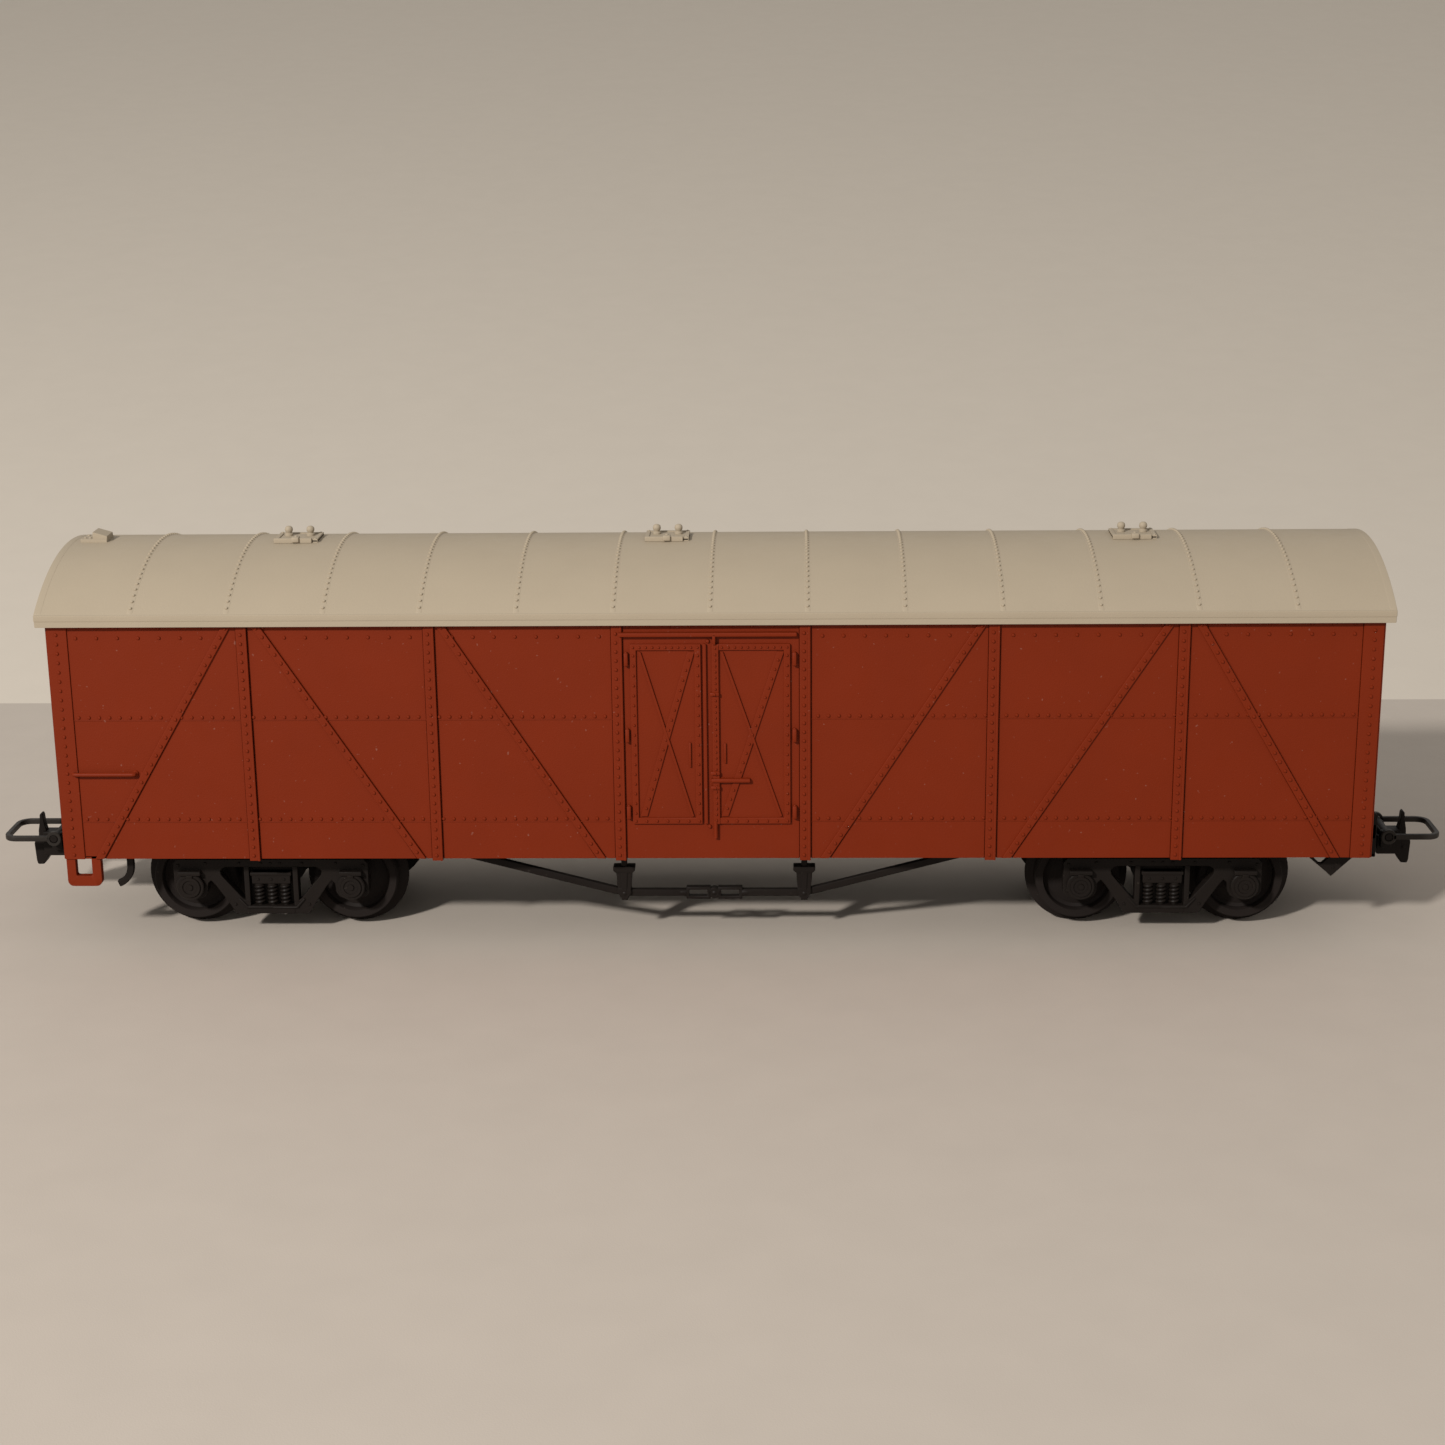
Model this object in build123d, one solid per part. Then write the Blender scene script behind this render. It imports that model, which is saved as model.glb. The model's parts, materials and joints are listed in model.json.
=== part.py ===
"""Model box car for 16.5 mm gauge track: each moulding, wheel, axle and pin as its own STEP file.

Millimetres. X runs along the car, Y across it and +Z up. The origin lies under the middle of the car,
level with the bottoms of the wheel flanges. Whatever sits at one end or side is drawn once and turned
half a turn about Z for the other.
"""

import os
from math import atan2, hypot, sin, tan

from build123d import *

# Body shell
BODY_HALF_LENGTH = 79.0
BODY_HALF_WIDTH = 16.7
BODY_BOTTOM = 11.2
WALL = 1.0
WALL_TOP = 41.6
RELIEF = 0.35
END_RELIEF = 0.2
RELIEF_ROOT = 0.5
POST_PITCH = 22.3
POST_WIDTH = 1.3
POST_OVERHANG = 0.2
CORNER_STRIP = 2.4
DIAGONAL_WIDTH = 0.95
DIAGONALS = ((57.1, 74.8), (54.5, 35.4), (32.5, 13.5))
DIAGONAL_TOP = 41.0
EAVE_BAND_BOTTOM = 38.5
PLATE_JOINTS = (29.0, 16.2)
JOINT_STRIP = 0.16
JOINT_RELIEF = 0.1

# Doors, moulded on each side
DOOR_LEAVES = ((-9.6, -1.1), (0.1, 9.4))
DOOR_BOTTOM = 15.7
DOOR_TOP = 38.0
DOOR_BORDER = 0.8
DOOR_BRACE = 0.7
DOOR_RAIL = (-10.7, 10.3)
DOOR_RAIL_Z = 39.3
DOOR_RAIL_HALF = 0.25
LOCK_ROD_X = 0.4
LOCK_ROD_HALF = 0.25
LOCK_ROD_BOTTOM = 13.8
HINGE_HEIGHTS = (36.2, 26.8, 17.2)
HINGE_HALF = (0.25, 0.8)
HINGE_OUTSIDE = 0.6
HANDLE_Z = 21.2
HANDLE_END = 4.6

# Corner step and grab iron
STEP_X = (-79.0, -74.8)
STEP_BOTTOM = 7.7
STEP_HOLE_X = (-77.9, -75.9)
STEP_HOLE_BOTTOM = 9.0
STEP_CORNER = 0.7
GRAB_X = (-77.1, -69.5)
GRAB_Z = 22.1
GRAB_RADIUS = 0.25
GRAB_FOOT_RADIUS = 0.35
GRAB_REACH = 0.6

# Roof
ROOF_HALF_LENGTH = 80.2
EAVE_HALF_WIDTH = 17.7
EAVE_BOTTOM = 41.1
EAVE_TOP = 42.3
EAVE_LIP = 0.6
PANEL_EDGE_Y = 17.45
PANEL_EDGE_Z = 42.0
CROWN_Z = 47.5
ROOF_PANELS = 14
RIB_WIDTH = 1.0
RIB_RELIEF = 0.2
ROOF_SKIN = 1.2
ROOF_END = 2.0
SKIRT_DEPTH = 2.2
SKIRT_WALL = 1.2
CLIP_GAP = 0.1
HATCH_PANELS = (2.5, 6.5, 11.5)
HATCH_HALF = 2.7
HATCH_HALF_DEPTH = 2.2
HATCH_THICKNESS = 0.4
HATCH_POST_TOP = 49.0
HATCH_POST_RADIUS = 0.4
HATCH_POST_X = 1.35
HATCH_POST_Y = 0.6
HATCH_BAR = 0.3
HATCH_CLASP_HALF = 0.45
PEG_RADIUS = 0.6
PEG_LENGTH = 1.2
PEG_GAP = 0.05
BRACKET_X = (-78.5, -75.2)
BRACKET_UPRIGHT_X = (-77.6, -76.9)
BRACKET_HALF_DEPTH = 1.6
BRACKET_TOP = 48.7
BRACKET_BASE = 0.35

# Wheels and axles
WHEELBASE = 20.0
BOGIE_X = 54.9
FLANGE_RADIUS = 6.35
TREAD_RADIUS = 5.25
BACK_TO_BACK = 14.4
WHEEL_WIDTH = 2.8
RIM_WIDTH = 1.0
HUB_RADIUS = 1.8
HUB_PROUD = 0.3
WEB_DISH = 0.8
FLANGE_WIDTH = 0.5
AXLE_RADIUS = 1.0
AXLE_HALF = 12.3
AXLE_CONE = 1.1
AXLE_POINT_RADIUS = 0.15
BEARING_GAP = 0.08
BEARING_END_GAP = 0.1
BEARING_MOUTH = 0.3

# Bogie frame
SIDE_INNER = 11.2
SIDE_OUTER = 12.7
SIDE_BACK = 0.6
JOURNAL_FACE = 13.3
JOURNAL_COVER_FACE = 13.6
JOURNAL_HALF = 1.45
JOURNAL_BOTTOM = 4.9
JOURNAL_TOP = 7.6
LID_TOP = 8.2
COVER_RADIUS = 1.35
BOLSTER_HALF = 2.8
BOLSTER_BOTTOM = 5.6
BOLSTER_TOP = 8.1
CENTRE_PLATE_RADIUS = 4.0
CENTRE_PLATE_TOP = 9.0
SPRING_X = (-1.6, 0.0, 1.6)
SPRING_RADIUS = 0.6
SPRING_SEAT = 3.7
SPRING_TOP = 6.4
OPENING_HALF = 2.7
BOLSTER_END_HALF = 2.4
OPENING_TOP = 8.8
WINDOW = ((3.4, 8.7), (6.5, 8.7), (3.4, 5.0))
CHORD_TOP = 9.8
SIDE_HALF_OUTLINE = (
    (0, CHORD_TOP),
    (11.6, CHORD_TOP),
    (12.1, 9.2),
    (12.1, JOURNAL_BOTTOM),
    (7.7, JOURNAL_BOTTOM),
    (7.7, 6.9),
    (5.2, 3.6),
    (4.4, 2.65),
    (0, 2.65),
)

# Bogie pivot pin
PIN_RADIUS = 1.5
PIN_GAP = 0.06
PIN_HEAD_RADIUS = 2.6
PIN_HEAD = 0.9
PIN_END_PLAY = 0.1
BOSS_RADIUS = 3.0
BOSS_BOTTOM = 9.1

# Underframe and ballast
FLOOR_BOTTOM = 14.0
FLOOR_TOP = 15.0
CENTRE_SILL_HALF = 2.6
SILL_BOTTOM = 11.3
SIDE_SILL_Y = (12.2, 13.9)
SIDE_SILL_HALF = 38.0
BEARER_HALF = 1.0
BALLAST = (120.0, 24.0, 1.2)

# Hook and bracket under the ends
HANGER_Y = (-13.6, -14.4)
HOOK_STALK_X = -72.3
HOOK_Z = 9.4
HOOK_RADIUS = 1.9
HOOK_WIDTH = 0.9
GUARD_OUTLINE = (
    (70.9, 11.6),
    (75.0, 8.0),
    (78.0, 10.9),
    (78.0, FLOOR_BOTTOM),
    (75.4, FLOOR_BOTTOM),
    (75.4, 11.2),
    (73.5, 9.7),
    (71.5, 11.6),
)

# Truss rods
TRUSS_Y = 13.0
TRUSS_HALF_DEPTH = 0.5
TRUSS_HALF_HEIGHT = 0.5
TRUSS_LOW_Z = 5.6
TRUSS_ANCHOR_X = 32.0
QUEEN_POST_X = 11.05
QUEEN_CAP_Z = 9.1
QUEEN_HALF_DEPTH = 0.8
QUEEN_FOOT_Z = 4.7
QUEEN_HALF_OUTLINE = (
    (0.35, SILL_BOTTOM),
    (0.35, QUEEN_CAP_Z),
    (1.35, QUEEN_CAP_Z),
    (1.35, 8.6),
    (1.05, 8.3),
    (0.85, 5.7),
    (0.3, QUEEN_FOOT_Z),
)
TURNBUCKLE_HALF = 3.5
TURNBUCKLE_HALF_HEIGHT = 0.8
TURNBUCKLE_WEB = 0.4

# Couplers
COUPLER_PIVOT_X = 76.0
POCKET_REAR = 73.4
POCKET_FRONT = 82.9
POCKET_HALF = 3.6
POCKET_BOTTOM = 6.8
POCKET_WALL = 0.6
POCKET_TOP = 13.9
STRIKER_SLOPE = 1.7
SHANK_HALF = 1.3
SHANK_Z = (7.5, 9.0)
HEAD_X = (83.5, 86.6)
HEAD_Z = (6.5, 9.9)
HEAD_HALF = 1.6
CHEEK_HALF = 2.6
CHEEK_DEPTH = 0.7
HORN_OUTLINE = ((86.1, 6.5), (87.5, 6.5), (87.1, 11.3), (86.9, 11.9), (86.5, 11.9), (86.2, 11.3))
HORN_HALF = 0.6
JAW_OUTLINE = ((85.6, 6.5), (86.8, 5.1), (87.7, 5.1), (87.9, 8.0), (87.9, 8.6), (85.6, 8.6))
JAW_HALF = 1.0
SHANK_GAP = 0.15
EYE_RADIUS = 1.7
COUPLER_PIN_RADIUS = 0.75
COUPLER_PIN_GAP = 0.05
COUPLER_PIN_HEAD = (1.4, 0.4)
LOOP_PIVOT_X = 84.4
LOOP_Z = 9.5
LOOP_TIP = 91.0
LOOP_HALF = 3.9
LOOP_STRIP = 0.6
LOOP_HALF_HEIGHT = 0.35
LOOP_CORNER = 1.7
LOOP_EYE_RADIUS = 0.95
TRUNNION_RADIUS = 0.5
TRUNNION_GAP = 0.06


def block(x_range, y_range, z_range):
    """A box between two corners."""
    low = [min(pair) for pair in (x_range, y_range, z_range)]
    size = [abs(pair[1] - pair[0]) for pair in (x_range, y_range, z_range)]
    return Pos(*low) * Box(*size, align=(Align.MIN, Align.MIN, Align.MIN))


def upright(x, y, radius, z_range):
    """A cylinder along Z."""
    height = z_range[1] - z_range[0]
    return Pos(x, y, z_range[0]) * Cylinder(radius, height, align=(Align.CENTER, Align.CENTER, Align.MIN))


def crosswise(x, z, radius, y_range):
    """A cylinder along Y."""
    turned = Pos(x, y_range[0], z) * Rot(-90, 0, 0)
    return turned * Cylinder(radius, y_range[1] - y_range[0], align=(Align.CENTER, Align.CENTER, Align.MIN))


def outline(points):
    """A flat face from its corner points."""
    return make_face(Polyline(*points, close=True))


def side_plate(points, y_range):
    """A plate upright along the car: its outline in X and Z, its thickness between two Y values."""
    face = Plane.XZ.offset(-y_range[0]) * outline(points)
    return extrude(face, amount=y_range[0] - y_range[1])


def bar_points(start, end, width):
    """The corners of a straight bar of one width between two points."""
    run, rise = end[0] - start[0], end[1] - start[1]
    length = hypot(run, rise)
    off = (-rise / length * width / 2, run / length * width / 2)
    return [
        (start[0] + off[0], start[1] + off[1]),
        (end[0] + off[0], end[1] + off[1]),
        (end[0] - off[0], end[1] - off[1]),
        (start[0] - off[0], start[1] - off[1]),
    ]


def half_turn(shape):
    """The same piece at the other end and on the other side of the car."""
    return Rot(0, 0, 180) * shape


def on_side(points, relief):
    """Raised moulding on the near wall, rooted a little inside it."""
    return side_plate(points, (-BODY_HALF_WIDTH + RELIEF_ROOT, -BODY_HALF_WIDTH - relief))


def rectangle(x_range, z_range):
    """The corners of an upright rectangle."""
    return [
        (x_range[0], z_range[0]),
        (x_range[1], z_range[0]),
        (x_range[1], z_range[1]),
        (x_range[0], z_range[1]),
    ]


def side_posts():
    """The six posts, the two corner strips and the band under the eave."""
    pieces = []
    for number in range(6):
        middle = (number - 2.5) * POST_PITCH
        span = (middle - POST_WIDTH / 2, middle + POST_WIDTH / 2)
        pieces.append(on_side(rectangle(span, (BODY_BOTTOM - POST_OVERHANG, WALL_TOP)), RELIEF))
    for sign in (-1, 1):
        span = (sign * (BODY_HALF_LENGTH - CORNER_STRIP), sign * BODY_HALF_LENGTH)
        pieces.append(on_side(rectangle(span, (BODY_BOTTOM, WALL_TOP)), RELIEF))
    full = (-BODY_HALF_LENGTH, BODY_HALF_LENGTH)
    pieces.append(on_side(rectangle(full, (EAVE_BAND_BOTTOM, WALL_TOP)), JOINT_RELIEF))
    return pieces


def side_diagonals():
    """A diagonal strip in every bay but the door's."""
    bay = on_side(rectangle((-BODY_HALF_LENGTH, BODY_HALF_LENGTH), (BODY_BOTTOM, WALL_TOP)), RELIEF)
    pieces = []
    for top_x, bottom_x in DIAGONALS:
        for sign in (-1, 1):
            start = (sign * bottom_x, BODY_BOTTOM)
            end = (sign * top_x, DIAGONAL_TOP)
            pieces.append(on_side(bar_points(start, end, DIAGONAL_WIDTH), RELIEF) & bay)
    return pieces


def plate_joints():
    """The two low lap joints that run the length of the side, left out behind the doors."""
    pieces = []
    for height in PLATE_JOINTS:
        for sign in (-1, 1):
            span = (sign * POST_PITCH / 2, sign * BODY_HALF_LENGTH)
            points = rectangle(span, (height - JOINT_STRIP, height + JOINT_STRIP))
            pieces.append(on_side(points, JOINT_RELIEF))
    return pieces


def door_leaf(x_range):
    """One leaf: a plate with a raised border and two crossed braces."""
    left, right = x_range
    whole = rectangle(x_range, (DOOR_BOTTOM, DOOR_TOP))
    inside_x = (left + DOOR_BORDER, right - DOOR_BORDER)
    inside_z = (DOOR_BOTTOM + DOOR_BORDER, DOOR_TOP - DOOR_BORDER)
    frame = on_side(whole, RELIEF) - on_side(rectangle(inside_x, inside_z), RELIEF)
    pieces = [on_side(whole, RELIEF / 2), frame]
    for start_x, end_x in (inside_x, inside_x[::-1]):
        points = bar_points((start_x, inside_z[0]), (end_x, inside_z[1]), DOOR_BRACE)
        pieces.append(on_side(points, RELIEF) & on_side(whole, RELIEF))
    return pieces


def door_fittings():
    """The drip rail, locking rod, hinges and handle of the doors."""
    proud = 2 * RELIEF
    rail_z = (DOOR_RAIL_Z - DOOR_RAIL_HALF, DOOR_RAIL_Z + DOOR_RAIL_HALF)
    rod_x = (LOCK_ROD_X - LOCK_ROD_HALF, LOCK_ROD_X + LOCK_ROD_HALF)
    handle_z = (HANDLE_Z - LOCK_ROD_HALF, HANDLE_Z + LOCK_ROD_HALF)
    pieces = [
        on_side(rectangle(DOOR_RAIL, rail_z), proud),
        on_side(rectangle(rod_x, (LOCK_ROD_BOTTOM, DOOR_RAIL_Z)), proud),
        on_side(rectangle((rod_x[0], HANDLE_END), handle_z), proud),
    ]
    half_width, half_height = HINGE_HALF
    for height in HINGE_HEIGHTS:
        for middle in (DOOR_LEAVES[0][0] - HINGE_OUTSIDE, DOOR_LEAVES[1][1] + HINGE_OUTSIDE):
            x_range = (middle - half_width, middle + half_width)
            pieces.append(on_side(rectangle(x_range, (height - half_height, height + half_height)), proud))
    return pieces


def corner_step():
    """The hanging step below the corner: a plate with a rectangular hole and rounded feet."""
    y_range = (-BODY_HALF_WIDTH + WALL, -BODY_HALF_WIDTH)
    plate = side_plate(rectangle(STEP_X, (STEP_BOTTOM, BODY_BOTTOM + RELIEF_ROOT)), y_range)
    feet = plate.edges().filter_by(Axis.Y).group_by(Axis.Z)[0]
    plate = fillet(feet, STEP_CORNER)
    return plate - side_plate(rectangle(STEP_HOLE_X, (STEP_HOLE_BOTTOM, BODY_BOTTOM)), y_range)


def grab_iron():
    """A bar on two feet, turned from the wall's outside."""
    bar_y = -BODY_HALF_WIDTH - GRAB_REACH
    bar = Pos(GRAB_X[0], bar_y, GRAB_Z) * Rot(0, 90, 0) * Cylinder(
        GRAB_RADIUS, GRAB_X[1] - GRAB_X[0], align=(Align.CENTER, Align.CENTER, Align.MIN)
    )
    foot_y = (bar_y, -BODY_HALF_WIDTH + RELIEF_ROOT)
    feet = [crosswise(x, GRAB_Z, GRAB_FOOT_RADIUS, foot_y) for x in GRAB_X]
    return [bar] + feet


def end_relief():
    """Corner strips, two posts and three bands on the +X end wall."""
    outer = (BODY_HALF_LENGTH - RELIEF_ROOT, BODY_HALF_LENGTH + END_RELIEF)
    top = WALL_TOP - EAVE_LIP
    half_post = POST_WIDTH / 2
    pieces = []
    for sign in (-1, 1):
        middle = sign * POST_PITCH / 4
        pieces.append(block(outer, (middle - half_post, middle + half_post), (POCKET_TOP + WALL, top)))
        corner = (sign * (BODY_HALF_WIDTH - CORNER_STRIP), sign * BODY_HALF_WIDTH)
        pieces.append(block(outer, corner, (BODY_BOTTOM, top)))
    across = (-BODY_HALF_WIDTH, BODY_HALF_WIDTH)
    for height in (EAVE_BAND_BOTTOM, *PLATE_JOINTS):
        pieces.append(block(outer, across, (height - half_post, height + half_post)))
    return pieces


def body_shell():
    """Four walls in one moulding, open above and below, with everything that is moulded onto them."""
    outer = block(
        (-BODY_HALF_LENGTH, BODY_HALF_LENGTH), (-BODY_HALF_WIDTH, BODY_HALF_WIDTH), (BODY_BOTTOM, WALL_TOP)
    )
    inner_x, inner_y = BODY_HALF_LENGTH - WALL, BODY_HALF_WIDTH - WALL
    inner = block((-inner_x, inner_x), (-inner_y, inner_y), (BODY_BOTTOM, WALL_TOP))
    near = side_posts() + side_diagonals() + plate_joints() + door_fittings() + end_relief()
    for leaf in DOOR_LEAVES:
        near += door_leaf(leaf)
    near += [corner_step()] + grab_iron()
    far = [half_turn(piece) for piece in near]
    return (outer - inner).fuse(*near, *far).clean()


def roof_arc_radius():
    """Radius of the panels' arc from the eave to the crown."""
    rise = CROWN_Z - PANEL_EDGE_Z
    return (PANEL_EDGE_Y**2 + rise**2) / (2 * rise)


def arched_slab(grow, bottom, x_range):
    """The space under the roof's arc, grown by a thickness, down to a level."""
    radius = roof_arc_radius() + grow
    centre_z = CROWN_Z - roof_arc_radius()
    barrel = Pos(x_range[0], 0, centre_z) * Rot(0, 90, 0) * Cylinder(
        radius, x_range[1] - x_range[0], align=(Align.CENTER, Align.CENTER, Align.MIN)
    )
    half = PANEL_EDGE_Y + min(grow, 0)
    return barrel & block(x_range, (-half, half), (bottom, CROWN_Z + grow + 1))


def panel_seams():
    """X of every seam between the roof's panels, ends included."""
    pitch = 2 * ROOF_HALF_LENGTH / ROOF_PANELS
    return [-ROOF_HALF_LENGTH + number * pitch for number in range(ROOF_PANELS + 1)]


def hatch_centres():
    """X of the middle of each panel that carries a hatch."""
    pitch = 2 * ROOF_HALF_LENGTH / ROOF_PANELS
    return [-ROOF_HALF_LENGTH + number * pitch for number in HATCH_PANELS]


def seam_ribs():
    """A low rib over every seam between the panels, whole at the two ends."""
    end = ROOF_HALF_LENGTH
    ribs = []
    for x in panel_seams():
        middle = min(max(x, RIB_WIDTH / 2 - end), end - RIB_WIDTH / 2)
        span = (middle - RIB_WIDTH / 2, middle + RIB_WIDTH / 2)
        ribs.append(arched_slab(RIB_RELIEF, PANEL_EDGE_Z, span) - arched_slab(-ROOF_SKIN / 2, WALL_TOP, span))
    return ribs


def eave_frame():
    """The straight strip round the roof's edge that hangs outside the walls."""
    full = (-ROOF_HALF_LENGTH, ROOF_HALF_LENGTH)
    frame = block(full, (-EAVE_HALF_WIDTH, EAVE_HALF_WIDTH), (EAVE_BOTTOM, EAVE_TOP))
    inside_x, inside_y = ROOF_HALF_LENGTH - EAVE_LIP, EAVE_HALF_WIDTH - EAVE_LIP
    return frame - block((-inside_x, inside_x), (-inside_y, inside_y), (EAVE_BOTTOM, EAVE_TOP))


def skirt():
    """The frame below the roof that fits inside the shell's walls."""
    outer_x, outer_y = BODY_HALF_LENGTH - WALL - CLIP_GAP, BODY_HALF_WIDTH - WALL - CLIP_GAP
    inner_x, inner_y = outer_x - SKIRT_WALL, outer_y - SKIRT_WALL
    z_range = (WALL_TOP - SKIRT_DEPTH, WALL_TOP + ROOF_SKIN / 4)
    shape = block((-outer_x, outer_x), (-outer_y, outer_y), z_range)
    return shape - block((-inner_x, inner_x), (-inner_y, inner_y), z_range)


def roof():
    """The arched moulding: seam ribs, eave frame, skirt, and a hole for each peg."""
    hollow = (-ROOF_HALF_LENGTH + ROOF_END, ROOF_HALF_LENGTH - ROOF_END)
    inner_half = BODY_HALF_WIDTH - WALL - CLIP_GAP - SKIRT_WALL
    roof_space = arched_slab(-ROOF_SKIN, WALL_TOP, hollow)
    shape = arched_slab(0, WALL_TOP, (-ROOF_HALF_LENGTH, ROOF_HALF_LENGTH))
    shape -= roof_space & block(hollow, (-inner_half, inner_half), (WALL_TOP, CROWN_Z))
    shape = shape.fuse(eave_frame(), skirt(), *seam_ribs()).clean()
    for x in (*hatch_centres(), sum(BRACKET_X) / 2):
        shape -= upright(x, 0, PEG_RADIUS + PEG_GAP, (CROWN_Z - PEG_LENGTH, CROWN_Z + RIB_RELIEF))
    return shape


def roof_hatch(x):
    """A small hatch: plate, front bar, clasp, two round-topped posts and a peg into the roof."""
    top = CROWN_Z + HATCH_THICKNESS
    front = -HATCH_HALF_DEPTH
    x_range = (x - HATCH_HALF, x + HATCH_HALF)
    plate = block(x_range, (front, HATCH_HALF_DEPTH), (CROWN_Z, top))
    bar = block(x_range, (front - HATCH_BAR, front), (CROWN_Z, top + HATCH_BAR / 2))
    clasp_x = (x - HATCH_CLASP_HALF, x + HATCH_CLASP_HALF)
    clasp = block(clasp_x, (front - 2 * HATCH_BAR, front + 2 * HATCH_BAR), (CROWN_Z, top + HATCH_BAR))
    peg = upright(x, 0, PEG_RADIUS, (CROWN_Z - PEG_LENGTH, CROWN_Z))
    posts = []
    for sign in (-1, 1):
        post_x = x + sign * HATCH_POST_X
        ball_z = HATCH_POST_TOP - HATCH_POST_RADIUS
        posts.append(upright(post_x, HATCH_POST_Y, HATCH_POST_RADIUS, (CROWN_Z, ball_z)))
        posts.append(Pos(post_x, HATCH_POST_Y, ball_z) * Sphere(HATCH_POST_RADIUS))
    return plate.fuse(bar, clasp, peg, *posts).clean()


def roof_bracket():
    """The small upright bracket with a gusset at the -X end of the crown."""
    half = BRACKET_HALF_DEPTH
    base = block(BRACKET_X, (-half, half), (CROWN_Z, CROWN_Z + BRACKET_BASE))
    plate = block(BRACKET_UPRIGHT_X, (-half, half), (CROWN_Z, BRACKET_TOP))
    corners = [(BRACKET_UPRIGHT_X[1], CROWN_Z), (BRACKET_X[1], CROWN_Z), (BRACKET_UPRIGHT_X[1], BRACKET_TOP)]
    gusset = side_plate(corners, (BRACKET_BASE, -BRACKET_BASE))
    peg = upright(sum(BRACKET_X) / 2, 0, PEG_RADIUS, (CROWN_Z - PEG_LENGTH, CROWN_Z))
    return base.fuse(plate, gusset, peg).clean()


def underframe():
    """Floor plate with centre sill, side sills, cross bearers and the two bogie bosses."""
    floor_x, floor_y = BODY_HALF_LENGTH - WALL, BODY_HALF_WIDTH - WALL
    deep = (SILL_BOTTOM, FLOOR_BOTTOM)
    floor = block((-floor_x, floor_x), (-floor_y, floor_y), (FLOOR_BOTTOM, FLOOR_TOP))
    pieces = [block((-POCKET_REAR, POCKET_REAR), (-CENTRE_SILL_HALF, CENTRE_SILL_HALF), deep)]
    for sign in (-1, 1):
        side = (sign * SIDE_SILL_Y[0], sign * SIDE_SILL_Y[1])
        pieces.append(block((-SIDE_SILL_HALF, SIDE_SILL_HALF), side, deep))
        pieces.append(upright(sign * BOGIE_X, 0, BOSS_RADIUS, (BOSS_BOTTOM, FLOOR_BOTTOM)))
        for x in (sign * QUEEN_POST_X, sign * POST_PITCH * 1.5):
            pieces.append(block((x - BEARER_HALF, x + BEARER_HALF), (-floor_y, floor_y), deep))
    shape = floor.fuse(*pieces).clean()
    for sign in (-1, 1):
        shape -= upright(sign * BOGIE_X, 0, PIN_RADIUS, (BOSS_BOTTOM, FLOOR_TOP))
    return shape


def ballast_plate():
    """The steel plate that lies on the floor."""
    length, width, thickness = BALLAST
    return block((-length / 2, length / 2), (-width / 2, width / 2), (FLOOR_TOP, FLOOR_TOP + thickness))


def truss_rod():
    """The near truss rod: a flat strip from sill to sill under the queen posts, with its turnbuckle."""
    y_range = (-TRUSS_Y + TRUSS_HALF_DEPTH, -TRUSS_Y - TRUSS_HALF_DEPTH)
    fall = SILL_BOTTOM - TRUSS_LOW_Z
    half = TRUSS_HALF_HEIGHT
    slope = atan2(fall, TRUSS_ANCHOR_X - QUEEN_POST_X)
    flare = half / sin(slope)
    knee = half * tan(slope / 2)
    points = [(-TRUSS_ANCHOR_X - flare, SILL_BOTTOM), (-TRUSS_ANCHOR_X + flare, SILL_BOTTOM)]
    points += [(-QUEEN_POST_X + knee, TRUSS_LOW_Z + half), (QUEEN_POST_X - knee, TRUSS_LOW_Z + half)]
    points += [(TRUSS_ANCHOR_X - flare, SILL_BOTTOM), (TRUSS_ANCHOR_X + flare, SILL_BOTTOM)]
    points += [(QUEEN_POST_X + knee, TRUSS_LOW_Z - half), (-QUEEN_POST_X - knee, TRUSS_LOW_Z - half)]
    strip = side_plate(points, y_range)
    height = (TRUSS_LOW_Z - TURNBUCKLE_HALF_HEIGHT, TRUSS_LOW_Z + TURNBUCKLE_HALF_HEIGHT)
    barrel = block((-TURNBUCKLE_HALF, TURNBUCKLE_HALF), y_range, height)
    shape = strip.fuse(barrel)
    rim = TURNBUCKLE_HALF_HEIGHT / 2
    for sign in (-1, 1):
        window = (sign * TURNBUCKLE_WEB, sign * (TURNBUCKLE_HALF - rim))
        shape -= block(window, y_range, (height[0] + rim, height[1] - rim))
    return shape


def queen_post(x):
    """A near-side post: neck, cap and tapering leg, notched over the truss rod."""
    y_range = (-TRUSS_Y + QUEEN_HALF_DEPTH, -TRUSS_Y - QUEEN_HALF_DEPTH)
    left = [(x - across, z) for across, z in QUEEN_HALF_OUTLINE]
    right = [(x + across, z) for across, z in reversed(QUEEN_HALF_OUTLINE)]
    post = side_plate(left + right, y_range)
    half_cap = max(across for across, z in QUEEN_HALF_OUTLINE)
    rod_y = (-TRUSS_Y + TRUSS_HALF_DEPTH, -TRUSS_Y - TRUSS_HALF_DEPTH)
    rod_z = (TRUSS_LOW_Z - TRUSS_HALF_HEIGHT, TRUSS_LOW_Z + 2 * TRUSS_HALF_HEIGHT)
    return post - block((x - half_cap, x + half_cap), rod_y, rod_z)


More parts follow.
